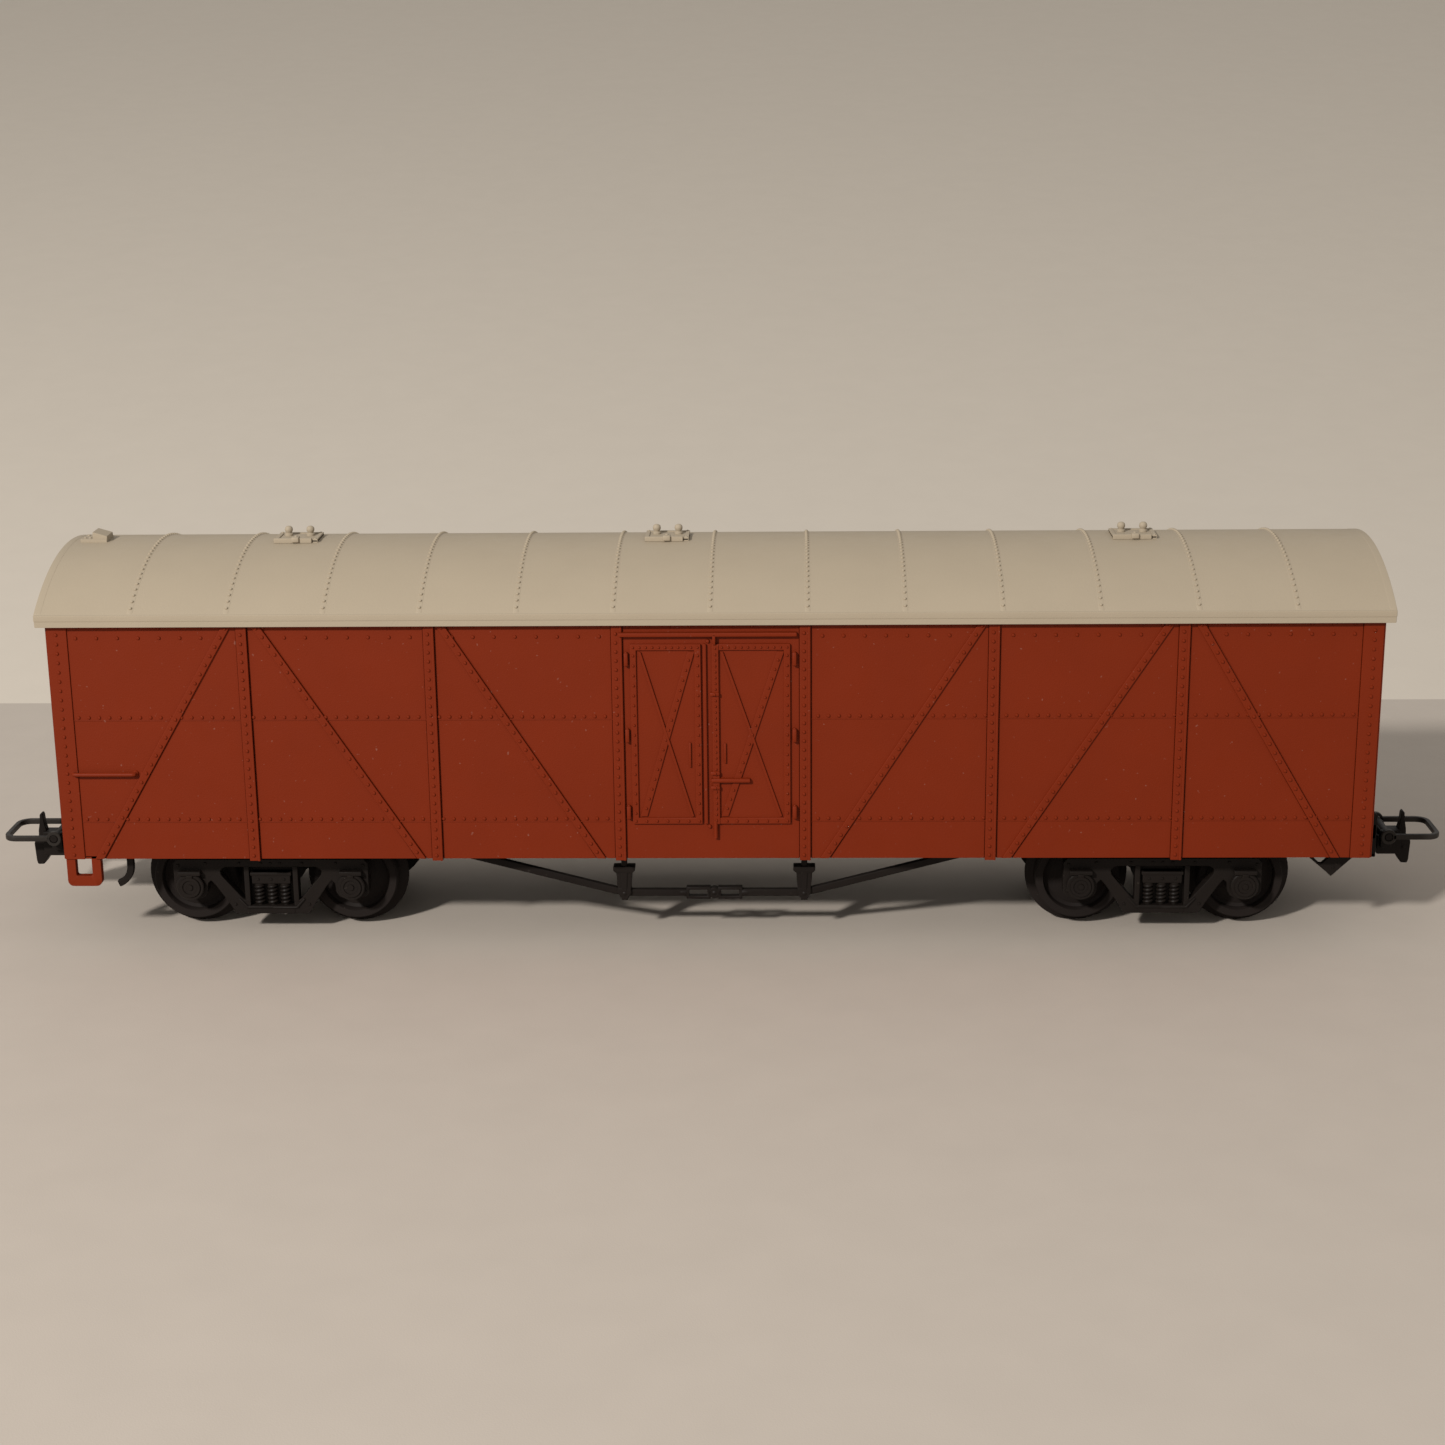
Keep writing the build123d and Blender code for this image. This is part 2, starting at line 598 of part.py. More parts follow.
def pipe_hook():
    """The curved hook that hangs under the -X end, on a stalk from the floor."""
    outer = HOOK_RADIUS + HOOK_WIDTH
    middle_x = HOOK_STALK_X - HOOK_RADIUS
    stalk = block((HOOK_STALK_X, HOOK_STALK_X + HOOK_WIDTH), HANGER_Y, (HOOK_Z, FLOOR_BOTTOM))
    ring = crosswise(middle_x, HOOK_Z, outer, (HANGER_Y[1], HANGER_Y[0]))
    ring -= crosswise(middle_x, HOOK_Z, HOOK_RADIUS, (HANGER_Y[1], HANGER_Y[0]))
    corners = [(middle_x, HOOK_Z), (middle_x + outer / 4, HOOK_Z - outer)]
    corners += [(middle_x + outer, HOOK_Z - outer), (middle_x + outer, HOOK_Z)]
    return stalk.fuse(ring & side_plate(corners, HANGER_Y)).clean()


def guard_bracket():
    """The V-shaped bracket that hangs under the +X end: a solid wedge with a thin strut beside it."""
    return side_plate(GUARD_OUTLINE, HANGER_Y)


def coupler_pocket():
    """The +X draft box: a hollow box under the floor with a striker block outside the end wall."""
    wide = (-POCKET_HALF, POCKET_HALF)
    under_floor = block((POCKET_REAR, BODY_HALF_LENGTH - WALL), wide, (POCKET_BOTTOM, FLOOR_BOTTOM))
    through_wall = block((POCKET_REAR, POCKET_FRONT), wide, (POCKET_BOTTOM, BODY_BOTTOM))
    back = BODY_HALF_LENGTH + END_RELIEF
    points = [(back, POCKET_BOTTOM), (POCKET_FRONT, POCKET_BOTTOM)]
    points += [(POCKET_FRONT, POCKET_TOP - STRIKER_SLOPE), (POCKET_FRONT - STRIKER_SLOPE, POCKET_TOP)]
    points += [(back, POCKET_TOP)]
    striker = side_plate(points, wide[::-1])
    shape = through_wall.fuse(under_floor, striker).clean()
    inside_y = POCKET_HALF - POCKET_WALL
    inside_z = (SHANK_Z[0] - SHANK_GAP, SHANK_Z[1] + SHANK_GAP)
    shape -= block((POCKET_REAR + POCKET_WALL, POCKET_FRONT), (-inside_y, inside_y), inside_z)
    return shape - upright(COUPLER_PIVOT_X, 0, COUPLER_PIN_RADIUS, (POCKET_BOTTOM, FLOOR_BOTTOM))


def coupler_pin():
    """The headed pin that the +X coupler swings on."""
    shaft = upright(COUPLER_PIVOT_X, 0, COUPLER_PIN_RADIUS, (POCKET_BOTTOM, FLOOR_BOTTOM))
    head_z = (POCKET_BOTTOM - COUPLER_PIN_HEAD[1], POCKET_BOTTOM)
    return shaft + upright(COUPLER_PIVOT_X, 0, COUPLER_PIN_HEAD[0], head_z)


def coupler_head():
    """The +X shank and head: eye, shank, cheeks with trunnions for the loop, horn and tapered jaw."""
    eye = upright(COUPLER_PIVOT_X, 0, EYE_RADIUS, SHANK_Z)
    shank = block((COUPLER_PIVOT_X, HEAD_X[1]), (-SHANK_HALF, SHANK_HALF), SHANK_Z)
    head = block(HEAD_X, (-HEAD_HALF, HEAD_HALF), (HEAD_Z[0], SHANK_Z[1]))
    cheek_x = (LOOP_PIVOT_X - CHEEK_DEPTH, LOOP_PIVOT_X + CHEEK_DEPTH)
    cheek = block(cheek_x, (-CHEEK_HALF, CHEEK_HALF), (SHANK_Z[0], HEAD_Z[1]))
    trunnion = crosswise(LOOP_PIVOT_X, LOOP_Z, TRUNNION_RADIUS, (-LOOP_HALF, LOOP_HALF))
    horn = side_plate(HORN_OUTLINE, (HORN_HALF, -HORN_HALF))
    jaw = side_plate(JAW_OUTLINE, (JAW_HALF, -JAW_HALF))
    shape = shank.fuse(eye, head, cheek, trunnion, horn, jaw).clean()
    return shape - upright(COUPLER_PIVOT_X, 0, COUPLER_PIN_RADIUS + COUPLER_PIN_GAP, SHANK_Z)


def coupler_loop():
    """The +X loop: one bent strip with an eye at each end for the trunnions."""
    z_range = (LOOP_Z - LOOP_HALF_HEIGHT, LOOP_Z + LOOP_HALF_HEIGHT)
    rear = LOOP_PIVOT_X
    outer = block((rear, LOOP_TIP), (-LOOP_HALF, LOOP_HALF), z_range)
    outer = fillet(outer.edges().filter_by(Axis.Z).group_by(Axis.X)[-1], LOOP_CORNER)
    inner_half = LOOP_HALF - LOOP_STRIP
    inner = block((rear - 1, LOOP_TIP - LOOP_STRIP), (-inner_half, inner_half), z_range)
    inner = fillet(inner.edges().filter_by(Axis.Z).group_by(Axis.X)[-1], LOOP_CORNER - LOOP_STRIP)
    shape = outer - inner
    for sign in (-1, 1):
        y_range = sorted((sign * inner_half, sign * LOOP_HALF))
        shape += crosswise(rear, LOOP_Z, LOOP_EYE_RADIUS, y_range)
    return shape - crosswise(rear, LOOP_Z, TRUNNION_RADIUS + TRUNNION_GAP, (-LOOP_HALF, LOOP_HALF))


def wheel(x):
    """The near wheel of the axle at x: flange, tread, dished web and hub, turned about the axle."""
    inner, outer = BACK_TO_BACK / 2, BACK_TO_BACK / 2 + WHEEL_WIDTH
    rim = TREAD_RADIUS - RIM_WIDTH
    step = RIM_WIDTH / 4
    back = [(AXLE_RADIUS, inner), (HUB_RADIUS, inner), (HUB_RADIUS + step, inner + WEB_DISH / 2)]
    back += [(rim - step, inner + WEB_DISH / 2), (rim, inner)]
    flange = [(FLANGE_RADIUS - step, inner), (FLANGE_RADIUS, inner + step)]
    flange += [(FLANGE_RADIUS - step / 2, inner + FLANGE_WIDTH), (TREAD_RADIUS, inner + 2 * FLANGE_WIDTH)]
    face = [(TREAD_RADIUS, outer), (rim, outer), (rim - step, outer - WEB_DISH)]
    hub_face = outer + HUB_PROUD
    hub = [(HUB_RADIUS + step, outer - WEB_DISH), (HUB_RADIUS, hub_face), (AXLE_RADIUS, hub_face)]
    section = outline([(radius, -y) for radius, y in back + flange + face + hub])
    return Pos(x, 0, FLANGE_RADIUS) * revolve(Plane.XY * section, Axis.Y)


def axle(x):
    """A steel axle with pointed ends."""
    straight = AXLE_HALF - AXLE_CONE
    points = [(0, -AXLE_HALF), (AXLE_POINT_RADIUS, -AXLE_HALF), (AXLE_RADIUS, -straight)]
    points += [(AXLE_RADIUS, straight), (AXLE_POINT_RADIUS, AXLE_HALF), (0, AXLE_HALF)]
    return Pos(x, 0, FLANGE_RADIUS) * revolve(Plane.XY * outline(points), Axis.Y)


def bearing_recess(x):
    """The pointed recess in the near side frame that the axle's end runs in."""
    taper = (AXLE_RADIUS - AXLE_POINT_RADIUS) / AXLE_CONE
    mouth_y = SIDE_INNER - BEARING_MOUTH
    tip_y = AXLE_HALF + BEARING_END_GAP
    mouth = AXLE_RADIUS + BEARING_GAP + taper * (AXLE_HALF - AXLE_CONE - mouth_y)
    tip = mouth - taper * (tip_y - mouth_y)
    points = [(0, -mouth_y), (mouth, -mouth_y), (tip, -tip_y), (0, -tip_y)]
    return Pos(x, 0, FLANGE_RADIUS) * revolve(Plane.XY * outline(points), Axis.Y)


def side_frame():
    """The near side frame, centred on the bogie: chord, arms, windows, springs and axle boxes."""
    mirrored = [(-x, z) for x, z in reversed(SIDE_HALF_OUTLINE[1:-1])]
    through = (-SIDE_INNER, -SIDE_OUTER)
    plate = side_plate(list(SIDE_HALF_OUTLINE) + mirrored, through)
    for sign in (-1, 1):
        plate -= side_plate([(sign * x, z) for x, z in WINDOW], through)
    opening_y = (-SIDE_INNER - SIDE_BACK, -SIDE_OUTER)
    plate -= block((-OPENING_HALF, OPENING_HALF), opening_y, (SPRING_SEAT, OPENING_TOP))
    bolster_end = (-BOLSTER_END_HALF, BOLSTER_END_HALF)
    pieces = [block(bolster_end, (-SIDE_INNER, -SIDE_OUTER), (SPRING_TOP, BOLSTER_TOP))]
    for x in SPRING_X:
        pieces.append(upright(x, -SIDE_OUTER + SPRING_RADIUS, SPRING_RADIUS, (SPRING_SEAT, SPRING_TOP)))
    for sign in (-1, 1):
        middle = sign * WHEELBASE / 2
        box_x = (middle - JOURNAL_HALF, middle + JOURNAL_HALF)
        pieces.append(block(box_x, (-SIDE_INNER, -JOURNAL_FACE), (JOURNAL_BOTTOM, JOURNAL_TOP)))
        pieces.append(block(box_x, (-SIDE_INNER, -JOURNAL_COVER_FACE), (JOURNAL_TOP, LID_TOP)))
        pieces.append(crosswise(middle, FLANGE_RADIUS, COVER_RADIUS, (-JOURNAL_COVER_FACE, -SIDE_INNER)))
    return plate.fuse(*pieces).clean()


def bogie_frame(centre):
    """The one-piece bogie moulding at a place along the car."""
    near = side_frame()
    far = half_turn(near)
    joined = block((-BOLSTER_HALF, BOLSTER_HALF), (-SIDE_INNER, SIDE_INNER), (BOLSTER_BOTTOM, BOLSTER_TOP))
    plate = upright(0, 0, CENTRE_PLATE_RADIUS, (BOLSTER_BOTTOM, CENTRE_PLATE_TOP))
    shape = joined.fuse(near, far, plate).clean()
    shape -= upright(0, 0, PIN_RADIUS + PIN_GAP, (BOLSTER_BOTTOM, CENTRE_PLATE_TOP))
    for sign in (-1, 1):
        recess = bearing_recess(sign * WHEELBASE / 2)
        shape = shape - recess - half_turn(recess)
    return Pos(centre, 0, 0) * shape


def bogie_pin(centre):
    """The headed pin that holds a bogie, pushed up into the underframe's boss."""
    shoulder = BOLSTER_BOTTOM - PIN_END_PLAY
    shaft = upright(centre, 0, PIN_RADIUS, (shoulder, FLOOR_BOTTOM - 4 * PIN_END_PLAY))
    return shaft + upright(centre, 0, PIN_HEAD_RADIUS, (shoulder - PIN_HEAD, shoulder))


def save(name, *shapes):
    """Write one node's solids to its STEP file."""
    shape = shapes[0] if len(shapes) == 1 else Compound(children=list(shapes))
    export_step(shape, f"parts/{name}.step")


os.makedirs("parts", exist_ok=True)

save("body_shell", body_shell())
save("roof", roof())
for number, hatch_x in enumerate(hatch_centres(), start=1):
    save(f"roof_hatch_{number}", roof_hatch(hatch_x))
save("roof_bracket", roof_bracket())
save("underframe", underframe())
save("ballast_plate", ballast_plate())
save("truss_rod_near", truss_rod())
save("truss_rod_far", half_turn(truss_rod()))
posts = [queen_post(sign * QUEEN_POST_X) for sign in (-1, 1)]
save("queen_posts", *posts, *[half_turn(post) for post in posts])
save("pipe_hook", pipe_hook())
save("guard_bracket", guard_bracket())
save("coupler_pins", coupler_pin(), half_turn(coupler_pin()))
save("bogie_pins", bogie_pin(-BOGIE_X), bogie_pin(BOGIE_X))

for letter, place in (("a", half_turn), ("b", lambda shape: shape)):
    save(f"coupler_{letter}_pocket", place(coupler_pocket()))
    save(f"coupler_{letter}_head", place(coupler_head()))
    save(f"coupler_{letter}_loop", place(coupler_loop()))

axle_number = 0
for letter, centre in (("a", -BOGIE_X), ("b", BOGIE_X)):
    save(f"bogie_{letter}_frame", bogie_frame(centre))
    for sign in (-1, 1):
        axle_number += 1
        axle_x = centre + sign * WHEELBASE / 2
        save(f"axle_{axle_number}", axle(axle_x))
        save(f"wheel_{axle_number}_near", wheel(axle_x))
        save(f"wheel_{axle_number}_far", half_turn(wheel(-axle_x)))
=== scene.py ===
import json
from math import cos, hypot, pi, radians, sin

import bmesh
import bpy
from mathutils import Matrix, Vector


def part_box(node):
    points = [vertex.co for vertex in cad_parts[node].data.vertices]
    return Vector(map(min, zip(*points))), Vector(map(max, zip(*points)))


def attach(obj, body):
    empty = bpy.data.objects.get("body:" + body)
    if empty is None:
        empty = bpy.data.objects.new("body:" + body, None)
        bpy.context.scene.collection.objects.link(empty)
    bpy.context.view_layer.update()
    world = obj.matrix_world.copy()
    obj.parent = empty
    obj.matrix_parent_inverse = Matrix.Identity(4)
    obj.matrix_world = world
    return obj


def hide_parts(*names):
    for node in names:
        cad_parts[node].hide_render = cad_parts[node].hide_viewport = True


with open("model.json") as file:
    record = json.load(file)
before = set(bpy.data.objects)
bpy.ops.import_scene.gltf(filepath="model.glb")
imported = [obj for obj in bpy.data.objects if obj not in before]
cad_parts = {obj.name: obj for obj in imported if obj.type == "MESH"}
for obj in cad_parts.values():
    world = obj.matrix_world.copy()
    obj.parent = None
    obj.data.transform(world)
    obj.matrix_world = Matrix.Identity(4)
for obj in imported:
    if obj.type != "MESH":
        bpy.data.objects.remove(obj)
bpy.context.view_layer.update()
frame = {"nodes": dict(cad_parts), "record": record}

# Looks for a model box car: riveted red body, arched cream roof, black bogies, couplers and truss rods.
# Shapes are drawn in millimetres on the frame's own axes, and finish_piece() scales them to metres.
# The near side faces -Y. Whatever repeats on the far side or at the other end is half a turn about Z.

MM = 0.001
HALF_TURN = Matrix.Rotation(pi, 4, "Z")
NEAR = Vector((0, -1, 0))

# Edge rounding and rivets
EDGE = 0.07
SHARP_ANGLE = radians(38)
RIVET_STEPS = 9
RIVET_SINK = 0.08
RIVET_RADIUS = 0.23
RIVET_HEIGHT = 0.17


def mm_box(node):
    """Lowest and highest corner of a CAD node, in millimetres."""
    low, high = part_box(node)
    return low / MM, high / MM


def middle(node):
    """The middle of a CAD node, in millimetres."""
    low, high = mm_box(node)
    return (low + high) / 2


# Sizes read from the frame
SHELL_LOW, SHELL_HIGH = mm_box("body_shell")
ROOF_LOW, ROOF_HIGH = mm_box("roof")
BRACKET_LOW, BRACKET_HIGH = mm_box("roof_bracket")
FLOOR_LOW, FLOOR_HIGH = mm_box("underframe")
POST_LOW, POST_HIGH = mm_box("queen_posts")
POCKET_LOW, POCKET_HIGH = mm_box("coupler_b_pocket")
SIDE_LOW, SIDE_HIGH = mm_box("bogie_b_frame")
WHEEL_LOW, WHEEL_HIGH = mm_box("wheel_4_near")
TRUSS_TOP = mm_box("truss_rod_near")[1].z
LOOP_HIGH = mm_box("coupler_b_loop")[1]
BOGIE_X = middle("bogie_b_frame").x
AXLE_OFFSET = middle("axle_4").x - BOGIE_X
WHEEL_Z = middle("axle_4").z

# Body, where the walls' faces lie inside the shell's box
END_RELIEF = 0.2
GRAB_OUT = 0.85
HALF_LENGTH = SHELL_HIGH.x - END_RELIEF
HALF_WIDTH = SHELL_HIGH.y - GRAB_OUT
BODY_BOTTOM = FLOOR_LOW.z + 2.1
BODY_TOP = SHELL_HIGH.z
PANEL_RELIEF = 0.12
PANEL_GAP = 0.11
WALL = 1.0
ROOT = 0.4
RELIEF = 0.35
POST_PITCH = 22.3
POST_HALF = 0.65
POST_OVERHANG = 0.2
CORNER_STRIP = 2.4
DIAGONALS = ((57.1, 74.8), (54.5, 35.4), (32.5, 13.5))
DIAGONAL_HALF = 0.47
DIAGONAL_TOP = 41.0
JOINT_HEIGHTS = (29.0, 16.2)
EAVE_ROWS = ((38.9, 2.45), (40.1, 2.45))

# Doors
DOOR_LEAVES = ((-9.6, -1.2), (0.15, 9.4))
DOOR_BOTTOM = 15.7
DOOR_TOP = 38.0
DOOR_BORDER = 0.75
DOOR_RAIL = (-10.9, 10.2)
DOOR_RAIL_Z = 39.2
LOCK_ROD_X = 0.4
LOCK_ROD_BOTTOM = 13.8
HINGE_HEIGHTS = (36.2, 26.8, 17.2)
HANDLE_Z = 21.2
HANDLE_END = 4.6
GUIDE_HEIGHTS = (20.3, 22.1, 31.9)
FITTING = 0.25

# Steps and grab irons
STEP_X = (-79.0, -74.8)
STEP_HOLE_X = (-77.9, -75.9)
STEP_HOLE_BOTTOM = 9.0
GRAB_X = (-77.1, -69.6)
GRAB_Z = 22.1

# Roof
EAVE_BOTTOM = 41.1
ARC_EDGE_Y = 17.45
ARC_EDGE_Z = 42.0
RIB_RELIEF = 0.2
CROWN_Z = ROOF_HIGH.z - RIB_RELIEF
ROOF_PANELS = 14
SEAM_HALF = 0.35
SEAM_RELIEF = 0.03
ARC_STEPS = 26
ARC_RISE = CROWN_Z - ARC_EDGE_Z
ARC_RADIUS = (ARC_EDGE_Y**2 + ARC_RISE**2) / (2 * ARC_RISE)
SEAM_BEADS = 36
HATCH_FRONT = -2.2
HATCH_PLATE = 0.4
LUG_OFFSET = 1.35

# Bogies
SIDE_INNER = 11.2
SIDE_OUTER = 12.7
SIDE_PROUD = 0.05
CHORD = (8.75, 9.78)
OPENING_HALF = 2.7
COLUMN_WIDTH = 0.65
PLANK_BOTTOM = SIDE_LOW.z
SPRING_SEAT = 3.7
SPRING_TOP = 6.4
SPRING_PITCH = 1.6
SPRING_TURNS = 5
BOLSTER_TOP = 8.1
CENTRE_PLATE_TOP = 9.0
JOURNAL_LID = 8.4

# Underframe, truss rods and the two small brackets
CROSS_BEARERS = (11.05, 33.45)
TRUSS_Y = 13.0
TRUSS_Z = 5.6
QUEEN_X = CROSS_BEARERS[0]
HANGER = (-14.4, -13.6)

# Couplers
SHANK = (7.5, 9.0)
PIVOT_X = 76.0
LOOP_PIVOT_X = 84.4
LOOP_Z = 9.5
SHANK_CLEARANCE = 0.15
STRIKER_SLOPE = 1.7

# Set, light and camera, in metres
FLOOR_HALF = 1.2
RISE_NEAR_Y = 0.097
RISE_FAR_Y = 1.5
RISE_FAR_Z = 0.25
KEY_PLACE = (-0.455, -0.707, 0.525)
KEY_TARGET = (0.0, 0.0, 0.02)
KEY_SIZE = 0.07
KEY_WATTS = 9.7
SURROUND_STRENGTH = 0.52
LIGHT_COLOUR = (1.0, 0.97, 0.93)
CAMERA_PLACE = (0.00952, -0.2998, 0.1079)
CAMERA_YAW = 0.029
CAMERA_PITCH = 0.274
CAMERA_ROLL = -0.0105
CAMERA_LENS = 61.455

# Materials: noise in features per metre, and the depth of the finest grain in metres
MOTTLE_SCALE = 130
SPECK_SCALE = 1900
WEAR_SCALE = 420
GRAIN_SCALE = 5200
GRAIN_DEPTH = 0.00006
DUST_COLOUR = (0.62, 0.52, 0.43, 1)
SPECULAR = 0.12


def place(axis, u, v, depth):
    """A point from its two outline coordinates and its depth along an axis."""
    return {"x": (depth, u, v), "y": (u, depth, v), "z": (u, v, depth)}[axis]


def round_edges(bm, faces, size):
    """Round every real edge of one solid."""
    bmesh.ops.recalc_face_normals(bm, faces=faces)
    edges = dict.fromkeys(edge for face in faces for edge in face.edges)
    sharp = [edge for edge in edges if edge.calc_face_angle(0) > SHARP_ANGLE / 2]
    bmesh.ops.bevel(
        bm, geom=sharp, offset=size, segments=2, profile=0.5, affect="EDGES", clamp_overlap=True
    )


def skin(bm, loops, closed=False):
    """Faces between neighbouring loops of corners; a loop of one corner makes a point."""
    faces = []
    pairs = list(zip(loops, loops[1:]))
    if closed:
        pairs.append((loops[-1], loops[0]))
    for first, second in pairs:
        count = max(len(first), len(second))
        for here in range(count):
            there = (here + 1) % count
            corners = [first[here % len(first)], first[there % len(first)]]
            corners += [second[there % len(second)], second[here % len(second)]]
            faces.append(bm.faces.new(list(dict.fromkeys(corners))))
    return faces


def prism(bm, points, axis, low, high, edge=EDGE):
    """A solid of one outline between two depths along an axis."""
    loops = [[bm.verts.new(place(axis, u, v, depth)) for u, v in points] for depth in (low, high)]
    faces = skin(bm, loops) + [bm.faces.new(loop) for loop in loops]
    round_edges(bm, faces, edge)


def block(bm, x_range, y_range, z_range, edge=EDGE):
    """A box with rounded edges."""
    prism(bm, rectangle(x_range, y_range), "z", *z_range, edge)


def rectangle(u_range, v_range):
    """The corners of a rectangle."""
    (left, right), (low, high) = u_range, v_range
    return [(left, low), (right, low), (right, high), (left, high)]


def ring(bm, outer, inner, axis, low, high, edge=EDGE):
    """A solid frame between two outlines with the same number of corners."""
    loops = []
    for points, depth in ((outer, low), (outer, high), (inner, high), (inner, low)):
        loops.append([bm.verts.new(place(axis, u, v, depth)) for u, v in points])
    round_edges(bm, skin(bm, loops, closed=True), edge)


def lathe(bm, profile, centre, axis, steps=48):
    """A solid turned about an axis from (radius, along) points, a ring unless it starts on the axis."""
    loops = []
    for radius, along in profile:
        count = steps if radius > 0 else 1
        turns = [2 * pi * step / count for step in range(count)]
        points = [(centre[0] + radius * cos(turn), centre[1] + radius * sin(turn)) for turn in turns]
        loops.append([bm.verts.new(place(axis, u, v, along)) for u, v in points])
    skin(bm, loops, closed=profile[0][0] > 0)


def tube(bm, path, radius, upright, steps=10):
    """A round bar along a path, with flat ends."""
    points = [Vector(point) for point in path]
    loops = []
    for number, point in enumerate(points):
        ahead = points[min(number + 1, len(points) - 1)]
        behind = points[max(number - 1, 0)]
        side = (ahead - behind).cross(upright).normalized()
        lift = side.cross(ahead - behind).normalized()
        turns = [2 * pi * step / steps for step in range(steps)]
        offsets = [radius * (side * cos(turn) + lift * sin(turn)) for turn in turns]
        loops.append([bm.verts.new(point + offset) for offset in offsets])
    skin(bm, loops)
    bm.faces.new(loops[0])
    bm.faces.new(loops[-1])


def coil(bm, x, y, z_range, radius, wire, turns):
    """A coil spring about an upright axis."""
    count = turns * 12
    low, high = z_range
    path = []
    for number in range(count + 1):
        turn = 2 * pi * turns * number / count
        height = low + (high - low) * number / count
        path.append((x + radius * cos(turn), y + radius * sin(turn), height))
    tube(bm, path, wire, Vector((0, 0, 1)), steps=6)


def rivet(bm, base, outward, radius=RIVET_RADIUS, height=RIVET_HEIGHT):
    """One round-headed rivet, its foot sunk into the surface."""
    side = outward.orthogonal().normalized()
    other = outward.cross(side)
    loops = []
    for share, rise in ((1.0, -RIVET_SINK), (1.0, 0.15 * height), (0.72, 0.75 * height), (0.0, height)):
        count = RIVET_STEPS if share else 1
        turns = [2 * pi * step / count for step in range(count)]
        centre = base + outward * rise
        reach = radius * share
        offsets = [reach * (side * cos(turn) + other * sin(turn)) for turn in turns]
        loops.append([bm.verts.new(centre + offset) for offset in offsets])
    skin(bm, loops)
    bm.faces.new(loops[0])


def rivet_row(bm, start, end, pitch, outward, radius=RIVET_RADIUS, height=RIVET_HEIGHT):
    """Evenly spaced rivets on a straight line."""
    start, end = Vector(start), Vector(end)
    count = max(1, round((end - start).length / pitch))
    for number in range(count + 1):
        rivet(bm, start.lerp(end, number / count), outward, radius, height)


def leaning_bar(bottom, top, half_width):
    """The outline of a straight bar between two points, cut level at both ends."""
    (x0, z0), (x1, z1) = bottom, top
    half = half_width * hypot(x1 - x0, z1 - z0) / abs(z1 - z0)
    return [(x0 - half, z0), (x0 + half, z0), (x1 + half, z1), (x1 - half, z1)]


def add_half_turn(bm):
    """Repeat everything drawn so far at the other end and on the other side."""
    copies = bmesh.ops.duplicate(bm, geom=bm.verts[:] + bm.edges[:] + bm.faces[:])["geom"]
    verts = [item for item in copies if isinstance(item, bmesh.types.BMVert)]
    bmesh.ops.transform(bm, matrix=HALF_TURN, verts=verts)


def finish_piece(name, bm, slot, body, replaces=(), matrix=None):
    """Turn a drawn shape into a finished object that rides on a body of the frame."""
    bmesh.ops.recalc_face_normals(bm, faces=bm.faces[:])
    if matrix is not None:
        bm.transform(matrix)
    bm.transform(Matrix.Scale(MM, 4))
    mesh = bpy.data.meshes.new(name)
    bm.to_mesh(mesh)
    mesh.shade_smooth()
    mesh.set_sharp_from_angle(angle=SHARP_ANGLE)
    mesh.materials.append(MATERIALS[slot])
    piece = bpy.data.objects.new(name, mesh)
    bpy.context.scene.collection.objects.link(piece)
    normals = piece.modifiers.new("normals", "WEIGHTED_NORMAL")
    normals.keep_sharp = True
    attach(piece, body)
    if replaces:
        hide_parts(*replaces)
    return piece


# ---------------------------------------------------------------- materials


def link(tree, source, output, target, value):
    """Connect one node's output to another's input."""
    tree.links.new(source.outputs[output], target.inputs[value])


def noise_node(tree, coordinates, scale, detail):
    """Noise at a scale in features per metre."""
    node = tree.nodes.new("ShaderNodeTexNoise")
    node.inputs["Scale"].default_value = scale
    node.inputs["Detail"].default_value = detail
    link(tree, coordinates, "Object", node, "Vector")
    return node


def ramp_node(tree, source, output, stops):
    """A colour ramp with its stops as (position, colour)."""
    node = tree.nodes.new("ShaderNodeValToRGB")
    for number, (position, colour) in enumerate(stops):
        stop = node.color_ramp.elements[number]
        stop.position = position
        stop.color = (*colour, 1)
    link(tree, source, output, node, "Fac")
    return node


def shaded(colour, share):
    """The same colour, darker or lighter."""
    return tuple(part * share for part in colour)


